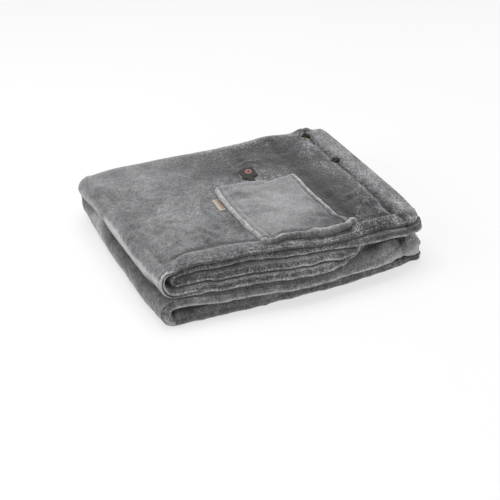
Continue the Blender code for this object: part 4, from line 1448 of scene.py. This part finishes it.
def add_math(nodes, links, operation, first, second):
    """A Math node fed by sockets or by numbers."""
    node = nodes.new("ShaderNodeMath")
    node.operation = operation
    for i, value in enumerate((first, second)):
        if isinstance(value, bpy.types.NodeSocket):
            links.new(value, node.inputs[i])
        else:
            node.inputs[i].default_value = value
    return node.outputs[0]


def add_noise(nodes, links, vector, scale, detail=2.0, roughness=0.5, distortion=0.0):
    """Noise from -0.5 to 0.5 about zero."""
    node = nodes.new("ShaderNodeTexNoise")
    node.inputs["Detail"].default_value = detail
    node.inputs["Roughness"].default_value = roughness
    node.inputs["Distortion"].default_value = distortion
    links.new(vector, node.inputs["Vector"])
    if isinstance(scale, bpy.types.NodeSocket):
        links.new(scale, node.inputs["Scale"])
    else:
        node.inputs["Scale"].default_value = scale
    return add_math(nodes, links, "SUBTRACT", node.outputs["Fac"], 0.5)


def add_turned(nodes, links, vector, degrees, stretch):
    """Coordinates turned in the cloth's plane and stretched along that direction."""
    node = nodes.new("ShaderNodeMapping")
    node.vector_type = "TEXTURE"
    node.inputs["Rotation"].default_value = (0, 0, math.radians(degrees))
    node.inputs["Scale"].default_value = (stretch, 1, 1)
    links.new(vector, node.inputs["Vector"])
    return node.outputs["Vector"]


def pile_mottle_group():
    """Crushed and brushed pile: patches, streaks and single tufts, as one shade about zero."""
    group, source, result = new_group(
        "pile_mottle",
        (
            ("Vector", "NodeSocketVector", None),
            ("Patches", "NodeSocketFloat", 1.0),
            ("Streaks", "NodeSocketFloat", 1.0),
            ("Tufts", "NodeSocketFloat", 1.0),
            ("Crushing", "NodeSocketFloat", 1.5),
            ("Crushed", "NodeSocketFloat", 0.0),
            ("Fuzz", "NodeSocketFloat", 0.0),
        ),
        (("Shade", "NodeSocketFloat"),),
    )
    nodes, links = group.nodes, group.links
    vector = source.outputs["Vector"]
    combed = add_turned(nodes, links, vector, PILE_LEAN, 1.35)
    large = add_noise(nodes, links, combed, 30.0, 4.0, 0.6, 0.1)
    small = add_noise(nodes, links, combed, 110.0, 3.0, 0.6, 0.2)
    blotches = add_math(nodes, links, "ADD", large, add_math(nodes, links, "MULTIPLY", small, 0.8))
    blotches = add_math(nodes, links, "MULTIPLY", blotches, source.outputs["Patches"])
    brushed = add_turned(nodes, links, vector, PILE_LEAN, 1.6)
    streaks = add_noise(nodes, links, brushed, 380.0, 3.0, 0.7, 0.1)
    streaks = add_math(nodes, links, "MULTIPLY", streaks, source.outputs["Streaks"])
    smooth_part = add_math(nodes, links, "SUBTRACT", 1.0, source.outputs["Fuzz"])
    streaks = add_math(nodes, links, "MULTIPLY", streaks, smooth_part)
    tufts = add_noise(nodes, links, combed, 460.0, 3.0, 0.8)
    tufts = add_math(nodes, links, "MULTIPLY", tufts, source.outputs["Tufts"])
    fine = add_math(nodes, links, "ADD", streaks, tufts)
    gain = add_math(nodes, links, "MULTIPLY", source.outputs["Crushed"], source.outputs["Crushing"])
    fine = add_math(nodes, links, "MULTIPLY", fine, add_math(nodes, links, "ADD", gain, 1.0))
    gain = add_math(nodes, links, "MULTIPLY", gain, 0.55)
    blotches = add_math(nodes, links, "MULTIPLY", blotches, add_math(nodes, links, "ADD", gain, 1.0))
    total = add_math(nodes, links, "ADD", blotches, fine)
    curls = add_noise(nodes, links, combed, 430.0, 2.0, 0.6, 0.8)
    curls = add_math(nodes, links, "MULTIPLY", curls, source.outputs["Fuzz"])
    total = add_math(nodes, links, "ADD", total, add_math(nodes, links, "MULTIPLY", curls, 1.1))
    links.new(total, result.inputs["Shade"])
    return group


def pile_relief_group():
    """The height of the pile's tufts, with their lean along the cloth."""
    group, source, result = new_group(
        "pile_relief",
        (("Vector", "NodeSocketVector", None), ("Tuft scale", "NodeSocketFloat", 300.0)),
        (("Height", "NodeSocketFloat"),),
    )
    nodes, links = group.nodes, group.links
    vector = source.outputs["Vector"]
    brushed = add_turned(nodes, links, vector, PILE_LEAN, 1.45)
    tufts = add_noise(nodes, links, brushed, source.outputs["Tuft scale"], 4.0, 0.75)
    clumps = add_noise(nodes, links, brushed, 110.0, 2.0, 0.5, 0.2)
    clumps = add_math(nodes, links, "MULTIPLY", clumps, 1.6)
    links.new(add_math(nodes, links, "ADD", tufts, clumps), result.inputs["Height"])
    return group


def fine_wear_group():
    """Small scuffs and dirt of leather, metal and ribbon: a mask from 0 to 1."""
    group, source, result = new_group(
        "fine_wear",
        (("Vector", "NodeSocketVector", None), ("Scale", "NodeSocketFloat", 200.0)),
        (("Mask", "NodeSocketFloat"),),
    )
    nodes, links = group.nodes, group.links
    worn = add_noise(nodes, links, source.outputs["Vector"], source.outputs["Scale"], 5.0, 0.65, 0.4)
    worn = add_math(nodes, links, "MULTIPLY", worn, 4.0)
    clamp = nodes.new("ShaderNodeClamp")
    links.new(add_math(nodes, links, "ADD", worn, 0.4), clamp.inputs["Value"])
    links.new(clamp.outputs["Result"], result.inputs["Mask"])
    return group


# ---- materials -------------------------------------------------------------------------------
LIE_AND_PAINTED_LIGHT_WEIGHT = 0.42  # how much of a ramp one unit of the pile's lie and its painted light moves over
SHEEN = 0.22


def linear(colour):
    """An sRGB colour from 0 to 255 as the shader's linear numbers."""
    values = [channel / 255 for channel in colour]
    return [v / 12.92 if v <= 0.04045 else ((v + 0.055) / 1.055) ** 2.4 for v in values] + [1.0]


def new_material(name, roughness, specular=0.5, metallic=0.0):
    material = bpy.data.materials.new(name)
    material.use_nodes = True
    shader = material.node_tree.nodes["Principled BSDF"]
    shader.inputs["Roughness"].default_value = roughness
    shader.inputs["Specular IOR Level"].default_value = specular
    shader.inputs["Metallic"].default_value = metallic
    return material, material.node_tree.nodes, material.node_tree.links, shader


def use_group(nodes, links, group, vector, **values):
    node = nodes.new("ShaderNodeGroup")
    node.node_tree = group
    links.new(vector, node.inputs["Vector"])
    for label, value in values.items():
        node.inputs[label.replace("_", " ")].default_value = value
    return node


def colour_ramp(nodes, links, factor, stops):
    """A ramp through (position, sRGB colour) stops."""
    ramp = nodes.new("ShaderNodeValToRGB")
    elements = ramp.color_ramp.elements
    while len(elements) < len(stops):
        elements.new(0.5)
    for element, (position, colour) in zip(elements, stops):
        element.position = position
        element.color = linear(colour)
    links.new(factor, ramp.inputs["Fac"])
    return ramp.outputs["Color"]


def bumped(nodes, links, shader, height, distance, strength=1.0):
    bump = nodes.new("ShaderNodeBump")
    bump.inputs["Distance"].default_value = distance
    bump.inputs["Strength"].default_value = strength
    links.new(height, bump.inputs["Height"])
    links.new(bump.outputs["Normal"], shader.inputs["Normal"])


def plush_material(name, stops, mottle, relief):
    """Plush: the pile's lie with painted shade and highlights colours it, a painted sheen lightens its
    colour seen edge on, and its tufts raise it.
    """
    material, nodes, links, shader = new_material(name, 0.92, 0.12)
    vector = nodes.new("ShaderNodeTexCoord").outputs["Object"]
    nap_and_painted_light, crushed, fuzz = (nodes.new("ShaderNodeAttribute") for _ in PILE_ATTRIBUTES)
    for node, label in zip((nap_and_painted_light, crushed, fuzz), PILE_ATTRIBUTES):
        node.attribute_name = label
    mottled = use_group(nodes, links, mottle[0], vector, **mottle[1])
    links.new(crushed.outputs["Fac"], mottled.inputs["Crushed"])
    links.new(fuzz.outputs["Fac"], mottled.inputs["Fuzz"])
    shade = mottled.outputs["Shade"]
    # the pile's lie with its painted shade and highlights
    lie = add_math(nodes, links, "MULTIPLY", nap_and_painted_light.outputs["Fac"], LIE_AND_PAINTED_LIGHT_WEIGHT)
    # a painted sheen: the base colour grows lighter where the surface is seen edge on
    edge_on = nodes.new("ShaderNodeLayerWeight")
    edge_on.inputs["Blend"].default_value = 0.5
    painted_sheen = add_math(nodes, links, "POWER", edge_on.outputs["Facing"], 4.0)
    lie = add_math(nodes, links, "ADD", lie, add_math(nodes, links, "MULTIPLY", painted_sheen, 0.6))
    total = add_math(nodes, links, "ADD", add_math(nodes, links, "ADD", shade, lie), 0.46)
    colour = colour_ramp(nodes, links, total, stops)
    links.new(colour, shader.inputs["Base Color"])
    height = use_group(nodes, links, relief[0], vector, Tuft_scale=relief[1]).outputs["Height"]
    bumped(nodes, links, shader, height, relief[2])
    shader.inputs["Sheen Weight"].default_value = SHEEN
    shader.inputs["Sheen Roughness"].default_value = 0.42
    shader.inputs["Sheen Tint"].default_value = linear((235, 236, 238))
    return material


def ribbon_material(wear):
    """Woven ribbon: fine ribs across, and a plain brown bar woven into its middle."""
    material, nodes, links, shader = new_material("woven_ribbon", 0.7, 0.3)
    place = nodes.new("ShaderNodeTexCoord").outputs["Object"]
    parts = nodes.new("ShaderNodeSeparateXYZ")
    links.new(place, parts.inputs["Vector"])
    ribs = nodes.new("ShaderNodeTexWave")
    ribs.bands_direction = "Y"
    ribs.inputs["Scale"].default_value = 620.0
    links.new(place, ribs.inputs["Vector"])
    right, half_width, half_length = TAB_BAR
    across = add_math(nodes, links, "SUBTRACT", parts.outputs["X"], TAB_AT[0] + right)
    along = add_math(nodes, links, "SUBTRACT", parts.outputs["Y"], TAB_AT[1])
    across = add_math(nodes, links, "ABSOLUTE", across, 0)
    along = add_math(nodes, links, "ABSOLUTE", along, 0)
    in_width = add_math(nodes, links, "LESS_THAN", across, half_width)
    in_length = add_math(nodes, links, "LESS_THAN", along, half_length)
    bar = add_math(nodes, links, "MULTIPLY", in_width, in_length)
    scuffs = use_group(nodes, links, wear, place, Scale=420.0).outputs["Mask"]
    pale = colour_ramp(nodes, links, scuffs, ((0.0, (112, 109, 104)), (1.0, (138, 134, 128))))
    brown = colour_ramp(nodes, links, scuffs, ((0.0, (92, 74, 54)), (1.0, (118, 97, 74))))
    mix = nodes.new("ShaderNodeMix")
    mix.data_type = "RGBA"
    links.new(bar, mix.inputs["Factor"])
    links.new(pale, mix.inputs["A"])
    links.new(brown, mix.inputs["B"])
    links.new(mix.outputs["Result"], shader.inputs["Base Color"])
    bumped(nodes, links, shader, ribs.outputs["Fac"], 0.0001)
    return material


def leather_material(wear):
    material, nodes, links, shader = new_material("patch_leather", 0.62, 0.22)
    place = nodes.new("ShaderNodeTexCoord").outputs["Object"]
    pores = nodes.new("ShaderNodeTexVoronoi")
    pores.inputs["Scale"].default_value = 900.0
    links.new(place, pores.inputs["Vector"])
    scuffs = use_group(nodes, links, wear, place, Scale=260.0).outputs["Mask"]
    stops = ((0.0, (22, 19, 15)), (0.6, (31, 28, 22)), (1.0, (44, 40, 32)))
    links.new(colour_ramp(nodes, links, scuffs, stops), shader.inputs["Base Color"])
    rough = add_math(nodes, links, "MULTIPLY", scuffs, 0.2)
    links.new(add_math(nodes, links, "ADD", rough, 0.55), shader.inputs["Roughness"])
    bumped(nodes, links, shader, pores.outputs["Distance"], 0.00012)
    return material


def bronze_material(wear):
    material, nodes, links, shader = new_material("stud_bronze", 0.35, 0.5, 1.0)
    place = nodes.new("ShaderNodeTexCoord").outputs["Object"]
    scuffs = use_group(nodes, links, wear, place, Scale=500.0).outputs["Mask"]
    stops = ((0.0, (24, 20, 14)), (0.7, (42, 34, 23)), (1.0, (70, 56, 36)))
    links.new(colour_ramp(nodes, links, scuffs, stops), shader.inputs["Base Color"])
    rough = add_math(nodes, links, "MULTIPLY", scuffs, 0.25)
    links.new(add_math(nodes, links, "ADD", rough, 0.25), shader.inputs["Roughness"])
    bumped(nodes, links, shader, scuffs, 0.00004)
    return material


def thread_material(name, colour, wear):
    material, nodes, links, shader = new_material(name, 0.7, 0.3)
    place = nodes.new("ShaderNodeTexCoord").outputs["Object"]
    twist = nodes.new("ShaderNodeTexWave")
    twist.bands_direction = "DIAGONAL"
    twist.inputs["Scale"].default_value = 900.0
    links.new(place, twist.inputs["Vector"])
    scuffs = use_group(nodes, links, wear, place, Scale=700.0).outputs["Mask"]
    dark = [channel * 0.75 for channel in colour]
    stops = ((0.0, dark), (1.0, colour))
    links.new(colour_ramp(nodes, links, scuffs, stops), shader.inputs["Base Color"])
    bumped(nodes, links, shader, twist.outputs["Fac"], 0.0001)
    return material


def lit_material(name, colour, glow, strength, wear):
    material, nodes, links, shader = new_material(name, 0.3, 0.5)
    place = nodes.new("ShaderNodeTexCoord").outputs["Object"]
    cloudy = use_group(nodes, links, wear, place, Scale=700.0).outputs["Mask"]
    for lit, label in ((colour, "Base Color"), (glow, "Emission Color")):
        stops = ((0.0, [channel * 0.85 for channel in lit]), (1.0, lit))
        links.new(colour_ramp(nodes, links, cloudy, stops), shader.inputs[label])
    shader.inputs["Emission Strength"].default_value = strength
    return material


def floor_material():
    material, nodes, links, shader = new_material("studio_floor", 0.5, 0.3)
    place = nodes.new("ShaderNodeTexCoord").outputs["Object"]
    grain = add_noise(nodes, links, place, 3.0)
    stops = ((0.0, (98, 98, 98)), (1.0, (104, 104, 104)))
    colour = colour_ramp(nodes, links, grain, stops)
    links.new(colour, shader.inputs["Base Color"])
    shader.inputs["Emission Color"].default_value = (1.0, 1.0, 1.0, 1.0)
    shader.inputs["Emission Strength"].default_value = 0.655  # lit from below, as in a product shot
    return material


# ---- camera, light and floor -----------------------------------------------------------------
CAMERA_ELEVATION = math.radians(31.5)
CAMERA_AZIMUTH = math.radians(-23.8)
CAMERA_DISTANCE = 1.528
CAMERA_LENS = 75.9
CAMERA_TARGET = Vector((-0.0083, -0.0330, 0.0))
STUDIO_LIGHTS = (
    # name, place, size, power in watts
    ("high_softbox", (-0.12, 0.45, 1.7), 1.5, 45.0),
    ("left_softbox", (-1.5, 0.3, 0.7), 1.2, 31.0),
    ("front_card", (0.1, -1.5, 0.30), 1.6, 21.5),
    ("front_fill", (0.9, -2.0, 0.9), 2.0, 14.0),
    ("right_fill", (1.8, 0.3, 0.8), 1.0, 13.0),
)
LIGHTS_AIM = Vector((0, 0, 0.03))
WORLD_LIGHT = 0.67


def make_camera():
    camera = bpy.data.objects.new("camera", bpy.data.cameras.new("camera"))
    bpy.context.scene.collection.objects.link(camera)
    level = math.cos(CAMERA_ELEVATION)
    back = Vector(
        (math.sin(CAMERA_AZIMUTH) * level, -math.cos(CAMERA_AZIMUTH) * level, math.sin(CAMERA_ELEVATION))
    )
    camera.location = CAMERA_TARGET + back * CAMERA_DISTANCE
    camera.rotation_euler = (-back).to_track_quat("-Z", "Y").to_euler()
    camera.data.lens = CAMERA_LENS
    camera.data.sensor_width = 36
    bpy.context.scene.camera = camera


def make_studio():
    scene = bpy.context.scene
    world = bpy.data.worlds.new("studio")
    scene.world = world
    world.use_nodes = True
    world.node_tree.nodes["Background"].inputs["Color"].default_value = (1, 1, 1, 1)
    world.node_tree.nodes["Background"].inputs["Strength"].default_value = WORLD_LIGHT
    for name, place, size, power in STUDIO_LIGHTS:
        light = bpy.data.lights.new(name, "AREA")
        light.size = size
        light.energy = power
        lamp = bpy.data.objects.new(name, light)
        scene.collection.objects.link(lamp)
        lamp.location = place
        lamp.rotation_euler = (LIGHTS_AIM - Vector(place)).to_track_quat("-Z", "Y").to_euler()
    bm = bmesh.new()
    bmesh.ops.create_grid(bm, x_segments=4, y_segments=4, size=8.0)
    mesh = bpy.data.meshes.new("floor")
    bm.to_mesh(mesh)
    bm.free()
    floor = bpy.data.objects.new("floor", mesh)
    scene.collection.objects.link(floor)
    mesh.materials.append(floor_material())
    scene.view_settings.view_transform = "Standard"


def dress(piece, slot, material, *nodes):
    """Puts a piece on the part's one body, with its material if one is given, in place of the CAD nodes.
    """
    if material is not None:
        piece.data.materials.clear()
        piece.data.materials.append(material)
    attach(piece, "root")
    if nodes:
        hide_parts(*nodes)
    return piece


def hem_stitches(tree, thread):
    """Rows of stitches in the grooves of the front hem, beside the pocket, and of the side hem."""
    x = np.linspace(-0.165, 0.160, 150)
    left, right = x[x < POCKET_LEFT_X[0] - 0.004], x[x > POCKET_RIGHT_X[0] + 0.012]
    y = np.linspace(-0.118, 0.146, 130)
    rows = (
        ("front_hem_stitches_left", left, crest_y(left) + HEM_GROOVE[0]),
        ("front_hem_stitches_right", right, crest_y(right) + HEM_GROOVE[0]),
        ("side_hem_stitches", side_seam_x(y), y),
    )
    made = []
    for name, x, y in rows:
        points = np.stack([x, y, top_surface(x, y) + STITCH_RISE], -1)
        made.append(dress(stitch_line(name, tree, points.tolist(), thread), "plush", None))
    return made


GREY_STOPS = (
    (0.0, (38, 38, 39)),
    (0.32, (61, 61, 62)),
    (0.5, (79, 79, 80)),
    (0.72, (97, 97, 98)),
    (1.0, (132, 132, 133)),
)
PALE_STOPS = (
    (0.0, (50, 50, 51)),
    (0.3, (73, 73, 74)),
    (0.5, (92, 92, 93)),
    (0.75, (110, 110, 111)),
    (1.0, (142, 142, 142)),
)


def main():
    make_camera()
    mottle, relief, wear = pile_mottle_group(), pile_relief_group(), fine_wear_group()
    mixture = {"Patches": 0.62, "Streaks": 0.45, "Tufts": 1.30, "Crushing": 2.9}
    tufts = (relief, 420.0, 0.0018)
    plush = plush_material("grey_plush", GREY_STOPS, (mottle, mixture), tufts)
    mixture = {"Patches": 0.4, "Streaks": 0.4, "Tufts": 1.15, "Crushing": 0.8}
    tufts = (relief, 480.0, 0.0011)
    pocket_plush = plush_material("pocket_plush", PALE_STOPS, (mottle, mixture), tufts)
    thread = thread_material("hem_thread", (70, 70, 71), wear)
    leather = leather_material(wear)

    blanket = dress(Blanket().build(), "plush", plush, "blanket")
    pocket = dress(make_pocket(), "pocket_plush", pocket_plush, "pocket")
    tab = dress(make_tab(), "ribbon", ribbon_material(wear), "pocket_tab")
    dress(make_patch(), "patch_leather", leather, "control_patch")
    lens, ring = make_symbol()
    dress(lens, "patch_leather", lit_material("symbol_red", (52, 28, 25), (96, 36, 32), 0.08, wear))
    dress(ring, "patch_leather", lit_material("symbol_pale", (118, 82, 80), (242, 176, 172), 0.42, wear))
    bronze = bronze_material(wear)
    for name, place in STUDS.items():
        dress(make_stud(name, place), "stud_metal", bronze, name)
    stitches = hem_stitches(stitch_tree(), thread)

    make_studio()


main()
